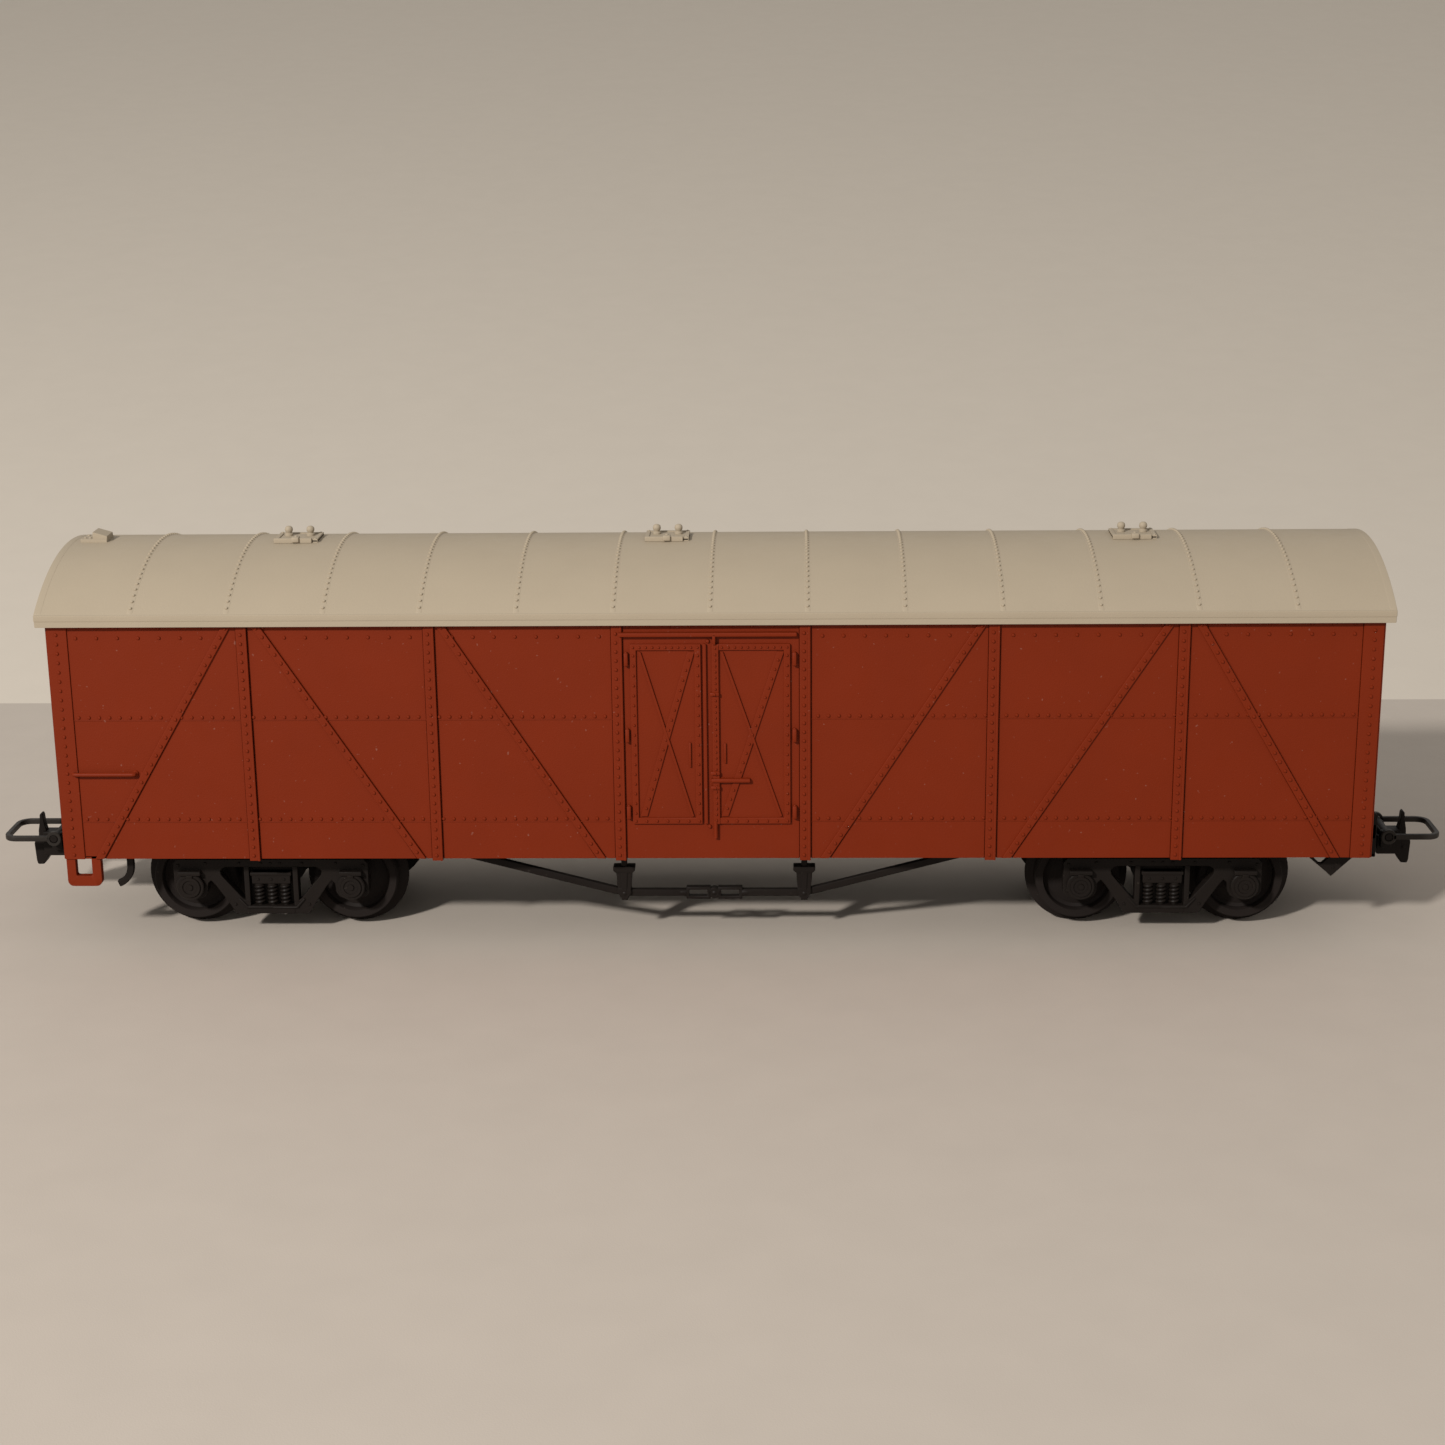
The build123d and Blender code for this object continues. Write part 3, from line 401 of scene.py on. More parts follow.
def surface(name, colour, roughness, mottling, grain, dust, metallic=0.0):
    """Moulded or metal surface: slow colour mottling, fine grain in the relief, and sparse pale dust."""
    material = bpy.data.materials.new(name)
    material.use_nodes = True
    tree = material.node_tree
    shader = tree.nodes["Principled BSDF"]
    shader.inputs["Metallic"].default_value = metallic
    shader.inputs["Specular IOR Level"].default_value = SPECULAR
    coordinates = tree.nodes.new("ShaderNodeTexCoord")

    slow = noise_node(tree, coordinates, MOTTLE_SCALE, 5)
    dark, pale = shaded(colour, 1 - mottling), shaded(colour, 1 + mottling)
    tints = ramp_node(tree, slow, "Fac", ((0.3, dark), (0.7, pale)))
    specks = noise_node(tree, coordinates, SPECK_SCALE, 2)
    dusty = ramp_node(tree, specks, "Fac", ((0.72, (0, 0, 0)), (0.8, (dust, dust, dust))))
    mix = tree.nodes.new("ShaderNodeMix")
    mix.data_type = "RGBA"
    mix.inputs["B"].default_value = DUST_COLOUR
    link(tree, dusty, "Color", mix, "Factor")
    link(tree, tints, "Color", mix, "A")
    link(tree, mix, "Result", shader, "Base Color")

    wear = noise_node(tree, coordinates, WEAR_SCALE, 4)
    low, high = roughness
    gloss = ramp_node(tree, wear, "Fac", ((0.3, (low, low, low)), (0.7, (high, high, high))))
    link(tree, gloss, "Color", shader, "Roughness")

    fine = noise_node(tree, coordinates, GRAIN_SCALE, 3)
    bump = tree.nodes.new("ShaderNodeBump")
    bump.inputs["Strength"].default_value = grain
    bump.inputs["Distance"].default_value = GRAIN_DEPTH
    link(tree, fine, "Fac", bump, "Height")
    link(tree, bump, "Normal", shader, "Normal")
    return material


def backdrop_surface(name, colour, mottling, grain):
    """Plain matt card for the floor and the wall behind."""
    return surface(name, colour, (0.75, 0.9), mottling, grain, 0.0)


MATERIALS = {
    "red_plastic": surface("red_plastic", (0.152, 0.0162, 0.0027), (0.48, 0.6), 0.03, 0.3, 0.1),
    "cream_plastic": surface("cream_plastic", (0.343, 0.286, 0.211), (0.5, 0.65), 0.02, 0.3, 0.0),
    "black_plastic": surface("black_plastic", (0.0095, 0.007, 0.0058), (0.42, 0.56), 0.12, 0.3, 0.05),
    "wheel_plastic": surface("wheel_plastic", (0.0125, 0.0092, 0.008), (0.6, 0.75), 0.12, 0.25, 0.05),
    "blackened_metal": surface("blackened_metal", (0.03, 0.026, 0.023), (0.38, 0.5), 0.12, 0.3, 0.05, 0.35),
    "steel": surface("steel", (0.45, 0.45, 0.44), (0.3, 0.45), 0.08, 0.2, 0.0, 1.0),
}


# ---------------------------------------------------------------- body


def wall_point(x, z, out=0.0):
    """A point on the near wall's face."""
    return Vector((x, -HALF_WIDTH - out, z))


def moulding(bm, points, relief=RELIEF, edge=EDGE):
    """Raised moulding on the near wall."""
    prism(bm, points, "y", -HALF_WIDTH + ROOT, -HALF_WIDTH - relief, edge)


def wall_rivets(bm, start, end, pitch, out=0.0, radius=RIVET_RADIUS):
    """A row of rivets on the near wall or on something raised from it."""
    rivet_row(bm, wall_point(*start, out), wall_point(*end, out), pitch, NEAR, radius)


def walls():
    """Four walls open above and below, a little behind the face of the panels that cover them."""
    bm = bmesh.new()
    face_x, face_y = HALF_LENGTH, HALF_WIDTH - PANEL_RELIEF
    inner_x, inner_y = HALF_LENGTH - WALL, HALF_WIDTH - WALL
    outer = rectangle((-face_x, face_x), (-face_y, face_y))
    inner = rectangle((-inner_x, inner_x), (-inner_y, inner_y))
    ring(bm, outer, inner, "z", BODY_BOTTOM, BODY_TOP - EDGE, 0.12)
    return bm


def side_panels():
    """The sheets between the bars of the near side, with a fine groove to the right of every bar."""
    bm = bmesh.new()
    low, high = BODY_BOTTOM + 0.02, EAVE_BOTTOM
    posts = [(number - 2.5) * POST_PITCH for number in range(6)]
    lefts = [CORNER_STRIP - HALF_LENGTH - PANEL_GAP] + [x + POST_HALF for x in posts]
    rights = [x - POST_HALF for x in posts] + [HALF_LENGTH - CORNER_STRIP]
    leaning = [(-top, -bottom) for top, bottom in DIAGONALS] + [None] + list(reversed(DIAGONALS))
    for left, right, bar in zip(lefts, rights, leaning):
        first, last = left + PANEL_GAP, right - PANEL_GAP / 2
        if bar is None:
            moulding(bm, rectangle((first, last), (low, high)), 0, 0.04)
            continue
        top_x, bottom_x = bar
        side = leaning_bar((bottom_x, low), (top_x, high), DIAGONAL_HALF + PANEL_GAP)
        (bottom_far, _), (top_far, _) = side[1:3]
        if top_x < bottom_x:  # a bar that leans this way has a groove on both sides
            bottom_x, top_x = side[0][0] + PANEL_GAP / 2, side[3][0] + PANEL_GAP / 2
        leftmost, rightmost = first + PANEL_GAP, last - PANEL_GAP
        before = [(first, low), (min(max(bottom_x, leftmost), last), low)]
        before += [(min(max(top_x, leftmost), last), high), (first, high)]
        after = [(min(bottom_far, rightmost), low), (last, low)]
        after += [(last, high), (min(top_far, rightmost), high)]
        moulding(bm, before, 0, 0.04)
        moulding(bm, after, 0, 0.04)
    add_half_turn(bm)
    return bm


def side_posts(bm):
    """Six riveted posts and the riveted strips at the corners."""
    for number in range(6):
        x = (number - 2.5) * POST_PITCH
        low = BODY_BOTTOM - POST_OVERHANG
        moulding(bm, rectangle((x - POST_HALF, x + POST_HALF), (low, EAVE_BOTTOM)), RELIEF - 0.1, 0.1)
        moulding(bm, rectangle((x + POST_HALF - 0.32, x + POST_HALF), (low, EAVE_BOTTOM)), RELIEF, 0.08)
        wall_rivets(bm, (x - 0.12, BODY_BOTTOM + 0.5), (x - 0.12, EAVE_BOTTOM - 0.7), 1.12, RELIEF - 0.1)
    for sign in (-1, 1):
        outer_x, inner_x = sign * HALF_LENGTH, sign * (HALF_LENGTH - CORNER_STRIP)
        span = (min(outer_x, inner_x) + 0.01, max(outer_x, inner_x) - 0.01)
        moulding(bm, rectangle(span, (BODY_BOTTOM + 0.01, EAVE_BOTTOM)), RELIEF / 2)
        x = sign * (HALF_LENGTH - 1.1)
        wall_rivets(bm, (x, BODY_BOTTOM + 0.6), (x, EAVE_BOTTOM - 0.6), 1.15, RELIEF / 2)


def side_diagonals(bm):
    """A riveted diagonal in every bay but the door's."""
    for top_x, bottom_x in DIAGONALS:
        for sign in (-1, 1):
            bottom, top = (sign * bottom_x, BODY_BOTTOM + 0.05), (sign * top_x, DIAGONAL_TOP)
            moulding(bm, leaning_bar(bottom, top, DIAGONAL_HALF), RELIEF - 0.1, 0.1)
            first = (sign * (bottom_x + (top_x - bottom_x) * 0.03), BODY_BOTTOM + 0.9)
            last = (sign * (top_x + (bottom_x - top_x) * 0.03), DIAGONAL_TOP - 0.9)
            wall_rivets(bm, first, last, 1.3, RELIEF - 0.1)


def plate_seams(bm):
    """Lap joints with rivets along the sheet's two seams and two rivet rows below the eave."""
    for sign in (-1, 1):
        near_x, far_x = sign * (POST_PITCH / 2 + POST_HALF), sign * (HALF_LENGTH - CORNER_STRIP)
        span = (min(near_x, far_x), max(near_x, far_x))
        for height in JOINT_HEIGHTS:
            moulding(bm, rectangle(span, (height - 0.32, height - 0.22)), 0.06, 0.03)
            start, end = (near_x + sign * 0.9, height + 0.1), (far_x - sign * 0.6, height + 0.1)
            wall_rivets(bm, start, end, 1.25)
        for height, pitch in EAVE_ROWS:
            wall_rivets(bm, (near_x + sign * 1.4, height), (far_x - sign * 1.0, height), pitch)
    wall_rivets(bm, (-9.8, EAVE_ROWS[1][0]), (9.8, EAVE_ROWS[1][0]), EAVE_ROWS[1][1])


def side_framing():
    """Everything moulded on the near side except the doors, and the same for the far side."""
    bm = bmesh.new()
    side_posts(bm)
    side_diagonals(bm)
    plate_seams(bm)
    add_half_turn(bm)
    return bm


def door_leaf(bm, x_range, hinge_side):
    """One leaf: plate, riveted border, a wide riveted brace and a thin one."""
    left, right = x_range
    plate = 0.1
    moulding(bm, rectangle(x_range, (DOOR_BOTTOM, DOOR_TOP)), plate)
    inside_x = (left + DOOR_BORDER, right - DOOR_BORDER)
    inside_z = (DOOR_BOTTOM + DOOR_BORDER, DOOR_TOP - DOOR_BORDER)
    ring(bm, rectangle(x_range, (DOOR_BOTTOM, DOOR_TOP)), rectangle(inside_x, inside_z), "y",
         -HALF_WIDTH, -HALF_WIDTH - RELIEF)
    low_z, high_z = inside_z[0] + 0.2, inside_z[1] - 0.2
    wide = ((inside_x[0] + 0.6, low_z), (inside_x[1] - 0.4, high_z))
    thin = ((inside_x[1] - 0.4, low_z), (inside_x[0] + 0.4, high_z))
    moulding(bm, leaning_bar(*wide, 0.4), plate + 0.2, 0.06)
    moulding(bm, leaning_bar(*thin, 0.15), plate + 0.26, 0.04)
    wall_rivets(bm, (wide[0][0] + 0.3, low_z + 1), (wide[1][0] - 0.3, high_z - 1), 1.25, plate + 0.2, 0.17)
    edge_left, edge_right = left + DOOR_BORDER / 2, right - DOOR_BORDER / 2
    bottom, top = DOOR_BOTTOM + DOOR_BORDER / 2, DOOR_TOP - DOOR_BORDER / 2
    wall_rivets(bm, (edge_left, bottom), (edge_right, bottom), 1.2, RELIEF, 0.18)
    wall_rivets(bm, (edge_left, top), (edge_right, top), 0.8, RELIEF, 0.16)
    left_pitch = 0.7 if hinge_side > 0 else 1.2
    wall_rivets(bm, (edge_left, bottom + 1), (edge_left, top - 1), left_pitch, RELIEF, 0.17)
    wall_rivets(bm, (edge_right, bottom + 1), (edge_right, top - 1), 1.2, RELIEF, 0.18)


def hinges(bm):
    """Three hinge knuckles beside each leaf, with a pin head at both ends of each."""
    for x in (DOOR_LEAVES[0][0] - 0.45, DOOR_LEAVES[1][1] + 0.5):
        for height in HINGE_HEIGHTS:
            moulding(bm, rectangle((x - 0.24, x + 0.24), (height - 0.8, height + 0.8)), 2 * RELIEF, 0.1)
            for sign in (-1, 1):
                end = Vector((0, 0, sign))
                rivet(bm, wall_point(x, height, RELIEF) + 0.8 * end, end, 0.17, 0.12)


def door_gear(bm):
    """Drip rail, cover strip, riveted lock strip with its guides, rod end, handle and keepers."""
    half, proud = FITTING, 2 * RELIEF
    moulding(bm, rectangle(DOOR_RAIL, (DOOR_RAIL_Z - half, DOOR_RAIL_Z + half)), proud, 0.12)
    moulding(bm, rectangle((-0.95, -0.55), (DOOR_BOTTOM, DOOR_TOP)), RELIEF)
    moulding(bm, rectangle((0.12, 0.92), (DOOR_BOTTOM, DOOR_TOP)), RELIEF + 0.1, 0.08)
    wall_rivets(bm, (0.5, DOOR_BOTTOM + 0.5), (0.5, DOOR_TOP - 0.5), 0.7, RELIEF + 0.1, 0.15)
    rod_top = DOOR_BOTTOM + 0.4
    rod = [(0, LOCK_ROD_BOTTOM), (half, LOCK_ROD_BOTTOM + 0.1), (half, rod_top), (0, rod_top)]
    lathe(bm, rod, (LOCK_ROD_X, -HALF_WIDTH - 0.3), "z", 14)
    moulding(bm, rectangle((LOCK_ROD_X - 0.18, LOCK_ROD_X + 0.18), (DOOR_TOP, DOOR_RAIL_Z)), proud)
    for height in GUIDE_HEIGHTS:
        guide = rectangle((LOCK_ROD_X - 0.55, LOCK_ROD_X + 0.55), (height - 0.22, height + 0.22))
        moulding(bm, guide, proud - 0.05, 0.1)
        rivet(bm, wall_point(LOCK_ROD_X, height, proud - 0.05), NEAR, 0.2, 0.12)
    handle = rectangle((LOCK_ROD_X - 0.5, HANDLE_END), (HANDLE_Z - half, HANDLE_Z + half))
    moulding(bm, handle, proud, 0.16)
    for x, z in ((-0.35, 15.3), (-0.35, 38.3)):
        rivet(bm, wall_point(x, z), NEAR, 0.26, 0.3)
    for x, low, high in ((-2.6, 22.8, 25.9), (1.6, 23.3, 25.8)):
        moulding(bm, rectangle((x - 0.12, x + 0.12), (low, high)), RELIEF, 0.05)


def doors():
    """The pair of doors on the near side, and the same pair on the far side."""
    bm = bmesh.new()
    for leaf, hinge_side in zip(DOOR_LEAVES, (-1, 1)):
        door_leaf(bm, leaf, hinge_side)
    hinges(bm)
    door_gear(bm)
    add_half_turn(bm)
    return bm


def end_framing():
    """Corner strips, posts and riveted seams on the -X end wall, and the same at the other end."""
    bm = bmesh.new()
    outward = Vector((-1, 0, 0))
    face = -HALF_LENGTH
    depth = (face + ROOT, face - END_RELIEF)
    top = EAVE_BOTTOM - 0.2
    post_bottom = POCKET_HIGH.z + WALL
    for sign in (-1, 1):
        y = sign * POST_PITCH / 4
        prism(bm, rectangle((y - POST_HALF, y + POST_HALF), (post_bottom, top)), "x", *depth)
        rivet_row(bm, (depth[1], y, post_bottom + 0.5), (depth[1], y, top - 0.5), 1.12, outward, 0.17, 0.1)
        outer_y, inner_y = sign * (HALF_WIDTH - 0.02), sign * (HALF_WIDTH - CORNER_STRIP)
        prism(bm, rectangle(sorted((outer_y, inner_y)), (BODY_BOTTOM, top)), "x", *depth)
    for height in JOINT_HEIGHTS + (38.9,):
        prism(bm, rectangle((-HALF_WIDTH + 2, HALF_WIDTH - 2), (height - 0.32, height - 0.2)), "x",
              face + ROOT, face - 0.06, 0.03)
        rivet_row(bm, (face, -13.4, height + 0.2), (face, 13.4, height + 0.2), 1.25, outward, 0.18, 0.14)
    add_half_turn(bm)
    return bm


def corner_steps():
    """A hanging step with a rectangular hole at the near -X corner, and the same at the far +X corner."""
    bm = bmesh.new()
    (left, right), bottom = STEP_X, SHELL_LOW.z
    top = BODY_BOTTOM + ROOT
    radius = 0.7
    corner = [(1 - cos(pi / 8 * step), 1 - sin(pi / 8 * step)) for step in range(5)]
    outer = [(left, top)] + [(left + radius * u, bottom + radius * v) for u, v in corner]
    outer += [(right - radius * u, bottom + radius * v) for u, v in reversed(corner)] + [(right, top)]
    hole_left, hole_right = STEP_HOLE_X
    small = 0.25
    hole_top = BODY_BOTTOM + ROOT / 2
    inner = [(hole_left, hole_top)]
    inner += [(hole_left + small * u, STEP_HOLE_BOTTOM + small * v) for u, v in corner]
    inner += [(hole_right - small * u, STEP_HOLE_BOTTOM + small * v) for u, v in reversed(corner)]
    inner += [(hole_right, hole_top)]
    ring(bm, outer, inner, "y", -HALF_WIDTH + WALL, -HALF_WIDTH, 0.08)
    add_half_turn(bm)
    return bm


def grab_irons():
    """A round bar on two feet at the near -X corner, and the same at the far +X corner."""
    bm = bmesh.new()
    reach = -HALF_WIDTH - GRAB_OUT + 0.27
    path = [(GRAB_X[0], -HALF_WIDTH + ROOT, GRAB_Z), (GRAB_X[0], reach + 0.3, GRAB_Z)]
    path += [(GRAB_X[0] + 0.1, reach + 0.08, GRAB_Z), (GRAB_X[0] + 0.35, reach, GRAB_Z)]
    path += [(sum(GRAB_X) - x, y, z) for x, y, z in reversed(path)]
    tube(bm, path, 0.25, Vector((0, 0, 1)), 12)
    for x in GRAB_X:
        rivet(bm, wall_point(x, GRAB_Z), NEAR, 0.42, 0.3)
    rivet(bm, wall_point(GRAB_X[1] + 0.8, GRAB_Z, 0), NEAR, 0.24, 0.2)
    add_half_turn(bm)
    return bm


# ---------------------------------------------------------------- roof


def arc_points(grow, half_y=ARC_EDGE_Y):
    """Points across the roof's arc, grown outward by a thickness."""
    centre_z = CROWN_Z - ARC_RADIUS
    points = []
    for step in range(ARC_STEPS + 1):
        y = -half_y + 2 * half_y * step / ARC_STEPS
        points.append((y, centre_z + ((ARC_RADIUS + grow) ** 2 - y**2) ** 0.5))
    return points


def arch(bm, x_range, grow, thickness, half_y=ARC_EDGE_Y, edge=EDGE):
    """An arched sheet across the car."""
    outline = arc_points(grow, half_y) + arc_points(grow - thickness, half_y)[::-1]
    prism(bm, outline, "x", *x_range, edge)


def seam_places():
    """X of every seam between the roof's panels, the two ends left out."""
    pitch = (ROOF_HIGH.x - ROOF_LOW.x) / ROOF_PANELS
    return [ROOF_LOW.x + number * pitch for number in range(1, ROOF_PANELS)]


def roof_skin():
    """The arched roof with its end walls, and the frame round the eaves."""
    bm = bmesh.new()
    end = ROOF_HIGH.x
    arch(bm, (0.05 - end, end - 0.05), 0, 1.2, ROOF_HIGH.y - 0.06, 0.1)
    inside_y = ARC_EDGE_Y - 0.2
    outline = arc_points(-0.2, inside_y) + [(inside_y, EAVE_BOTTOM + 0.4), (-inside_y, EAVE_BOTTOM + 0.4)]
    for sign in (-1, 1):
        prism(bm, outline, "x", sign * (end - 1.5), sign * (end - 0.12))
    half_y = ROOF_HIGH.y
    lip = 0.6
    outer = rectangle((-end, end), (-half_y, half_y))
    inner = rectangle((-end + lip, end - lip), (-half_y + lip, half_y - lip))
    ring(bm, outer, inner, "z", EAVE_BOTTOM, ARC_EDGE_Z - 0.08, 0.12)
    skirt_x, skirt_y = HALF_LENGTH - WALL - 0.1, HALF_WIDTH - WALL - 0.1
    outer = rectangle((-skirt_x, skirt_x), (-skirt_y, skirt_y))
    inner = rectangle((-skirt_x + 1.2, skirt_x - 1.2), (-skirt_y + 1.2, skirt_y - 1.2))
    ring(bm, outer, inner, "z", ROOF_LOW.z, ARC_EDGE_Z)
    return bm


def roof_seams():
    """A low strip over every seam with a line of fine beads along it."""
    bm = bmesh.new()
    centre_z = CROWN_Z - ARC_RADIUS
    for x in seam_places():
        arch(bm, (x - SEAM_HALF, x + SEAM_HALF), SEAM_RELIEF, 0.4, edge=0.08)
        for number in range(SEAM_BEADS):
            y = (ARC_EDGE_Y - 0.7) * (2 * number / (SEAM_BEADS - 1) - 1)
            outward = Vector((0, y, (ARC_RADIUS**2 - y**2) ** 0.5)).normalized()
            base = Vector((x, 0, centre_z)) + outward * (ARC_RADIUS + SEAM_RELIEF)
            rivet(bm, base, outward, 0.22, 0.22)
    for sign in (-1, 1):
        inner_x, outer_x = sign * (ROOF_HIGH.x - 0.9), sign * (ROOF_HIGH.x - 0.02)
        arch(bm, sorted((inner_x, outer_x)), SEAM_RELIEF, 0.4, edge=0.08)
    return bm


def roof_hatch(node):
    """A low hatch: plate with a raised border, front bar, clasp and two round-headed lugs."""
    bm = bmesh.new()
    low, high = mm_box(node)
    x = (low.x + high.x) / 2
    half_x = (high.x - low.x) / 2
    front, back = HATCH_FRONT, high.y
    plate_top = CROWN_Z + HATCH_PLATE
    block(bm, (x - half_x, x + half_x), (front, back), (CROWN_Z - 0.25, plate_top - 0.12), 0.08)
    border = 0.5
    ring(bm, rectangle((x - half_x, x + half_x), (front, back)),
         rectangle((x - half_x + border, x + half_x - border), (front + border, back - border)),
         "z", CROWN_Z, plate_top, 0.06)
    bar_x, bar_y = (x - half_x, x + half_x - 0.7), (front - 0.3, front + 0.1)
    block(bm, bar_x, bar_y, (CROWN_Z - 0.1, plate_top + 0.12), 0.1)
    block(bm, (x - 0.45, x + 0.45), (low.y, front + 0.6), (CROWN_Z + 0.05, plate_top + 0.28), 0.1)
    rivet(bm, Vector((x, front + 0.25, plate_top + 0.28)), Vector((0, 0, 1)), 0.2, 0.12)
    for sign in (-1, 1):
        profile = [(0, CROWN_Z), (0.5, CROWN_Z), (0.5, plate_top + 0.1), (0.34, plate_top + 0.2)]
        profile += [(0.34, high.z - 0.85), (0.46, high.z - 0.68), (0.5, high.z - 0.45)]
        profile += [(0.44, high.z - 0.2), (0.26, high.z - 0.05), (0, high.z)]
        lathe(bm, profile, (x + sign * LUG_OFFSET, 0.6), "z", 20)
        for y in (front + 0.25, back - 0.25):
            rivet(bm, Vector((x + sign * (half_x - 0.3), y, plate_top)), Vector((0, 0, 1)), 0.15, 0.1)
    return bm


def roof_bracket():
    """A wedge on a riveted foot."""
    bm = bmesh.new()
    low, high = BRACKET_LOW, BRACKET_HIGH
    half = high.y
    foot_top = CROWN_Z + 0.35
    block(bm, (low.x, high.x), (-half, half), (CROWN_Z - 0.2, foot_top))
    wedge_x = (low.x + 1.5, high.x)
    wedge = [(wedge_x[0], foot_top - 0.1), (wedge_x[1], foot_top - 0.1), (wedge_x[1], foot_top + 0.35)]
    wedge.append((wedge_x[0], high.z))
    prism(bm, wedge, "y", 0.2 - half, half - 0.2, 0.08)
    for sign in (-1, 1):
        for x in (low.x + 0.45, low.x + 1.05):
            rivet(bm, Vector((x, sign * 0.8, foot_top)), Vector((0, 0, 1)), 0.2, 0.14)
    return bm


# ---------------------------------------------------------------- bogies


def wheel(x, sign):
    """One turned wheel at an axle, on the side given by the sign."""
    bm = bmesh.new()
    inner, outer = -WHEEL_HIGH.y, -WHEEL_LOW.y - 0.3
    flange, tread, rim, hub = WHEEL_Z, WHEEL_Z - 1.1, WHEEL_Z - 2.12, 1.75
    profile = [(1.0, inner), (hub, inner), (hub + 0.25, inner + 0.35), (rim - 0.25, inner + 0.35)]
    profile += [(rim, inner), (flange - 0.3, inner), (flange - 0.06, inner + 0.1), (flange, inner + 0.3)]
    profile += [(flange - 0.1, inner + 0.55), (tread + 0.35, inner + 0.78), (tread + 0.08, inner + 0.95)]
    profile += [(tread, inner + 1.2), (tread - 0.05, outer - 0.12), (tread - 0.16, outer)]
    profile += [(rim + 0.08, outer), (rim, outer - 0.1), (rim - 0.12, outer - 0.9)]
    profile += [(rim - 0.5, outer - 1.1), (hub + 1.2, outer - 0.95), (hub + 0.3, outer - 0.8)]
    profile += [(hub + 0.08, outer - 0.6), (hub, outer + 0.2), (hub - 0.1, outer + 0.3), (1.0, outer + 0.3)]
    lathe(bm, [(radius, sign * along) for radius, along in profile], (x, WHEEL_Z), "y", 72)
    return bm


def axle(x):
    """A steel axle, turned down to a point at both ends."""
    bm = bmesh.new()
    end, shoulder = SIDE_HIGH.y - 1.3, SIDE_HIGH.y - 2.4
    profile = [(0, -end), (0.15, -end), (0.98, -shoulder), (1.0, -shoulder + 0.15)]
    profile += [(1.0, -7.3), (0.92, -7.0)]
    profile += [(radius, -along) for radius, along in reversed(profile)]
    lathe(bm, profile, (x, WHEEL_Z), "y", 32)
    return bm


def journal_box(bm, x):
    """Axle box with its lid, and a round cover turned in steps."""
    face = -SIDE_HIGH.y
    block(bm, (x - 1.15, x + 1.15), (face + 0.55, -SIDE_INNER), (4.95, JOURNAL_LID - 0.5), 0.12)
    block(bm, (x - 1.4, x + 1.4), (face, -SIDE_INNER), (JOURNAL_LID - 0.55, JOURNAL_LID), 0.12)
    block(bm, (x - 0.4, x + 0.4), (face, face + 0.6), (JOURNAL_LID - 0.9, JOURNAL_LID - 0.3), 0.1)
    profile = [(0, face), (0.35, face), (0.42, face + 0.15), (0.85, face + 0.15), (0.92, face + 0.02)]
    profile += [(1.25, face + 0.02), (1.34, face + 0.22), (1.6, face + 0.22), (1.72, face + 0.34)]
    profile += [(1.72, face + 0.9), (0, face + 0.9)]
    lathe(bm, profile, (x, WHEEL_Z), "y", 32)


def side_frame(bm, x):
    """The near side frame: one plate with sloping arms, columns, spring plank and its rivets."""
    depth = (-SIDE_OUTER, -SIDE_INNER)
    low, high = CHORD
    half = [(11.6, high), (12.1, high - 0.6), (12.1, 5.4), (11.7, 4.9), (9.0, 4.6), (8.35, 4.9), (8.0, 5.5)]
    half += [(7.9, 6.6), (7.5, 7.0), (6.9, 6.3), (5.3, 3.9), (4.6, PLANK_BOTTOM), (2.7, PLANK_BOTTOM)]
    half += [(2.7, 4.4), (3.5, 4.5), (3.9, 4.95), (6.2, 7.7), (6.3, 8.2), (6.05, 8.55), (5.6, low)]
    outline = [(x + u, v) for u, v in half] + [(x - u, v) for u, v in reversed(half)]
    prism(bm, outline, "y", *depth, 0.13)
    proud = (-SIDE_OUTER - SIDE_PROUD, -SIDE_INNER - SIDE_PROUD)
    block(bm, (x - 2.8, x + 2.8), proud, (PLANK_BOTTOM + 0.02, SPRING_SEAT), 0.12)
    lip = (-SIDE_OUTER - 3 * SIDE_PROUD, -SIDE_INNER)
    block(bm, (x - 3.3, x + 3.3), lip, (SPRING_SEAT - 0.35, SPRING_SEAT + 0.03), 0.1)
    block(bm, (x - 2.9, x + 2.9), (-SIDE_INNER - 0.5, -SIDE_INNER), (SPRING_SEAT - 0.2, low + 0.2))
    for sign in (-1, 1):
        column = sorted((x + sign * OPENING_HALF, x + sign * (OPENING_HALF + COLUMN_WIDTH)))
        block(bm, column, proud, (4.2, low + 0.1), 0.1)
        ridge_top = SPRING_SEAT - 0.12
        ridge = [(0.0, ridge_top), (2.95, ridge_top), (4.0, 4.75), (4.15, 4.6), (3.1, 3.38), (0.0, 3.38)]
        prism(bm, [(x + sign * u, v) for u, v in ridge], "y", -SIDE_OUTER - 0.2, -SIDE_INNER, 0.06)
        for u, v in ((3.9, 9.25), (8.1, 9.25), (11.5, 9.0), (11.6, 5.6), (4.6, 3.9)):
            rivet(bm, Vector((x + sign * u, -SIDE_OUTER, v)), NEAR, 0.2, 0.16)
    for u in (-1.2, 0, 1.2):
        rivet(bm, Vector((x + u, -SIDE_OUTER, 9.25)), NEAR, 0.18, 0.14)


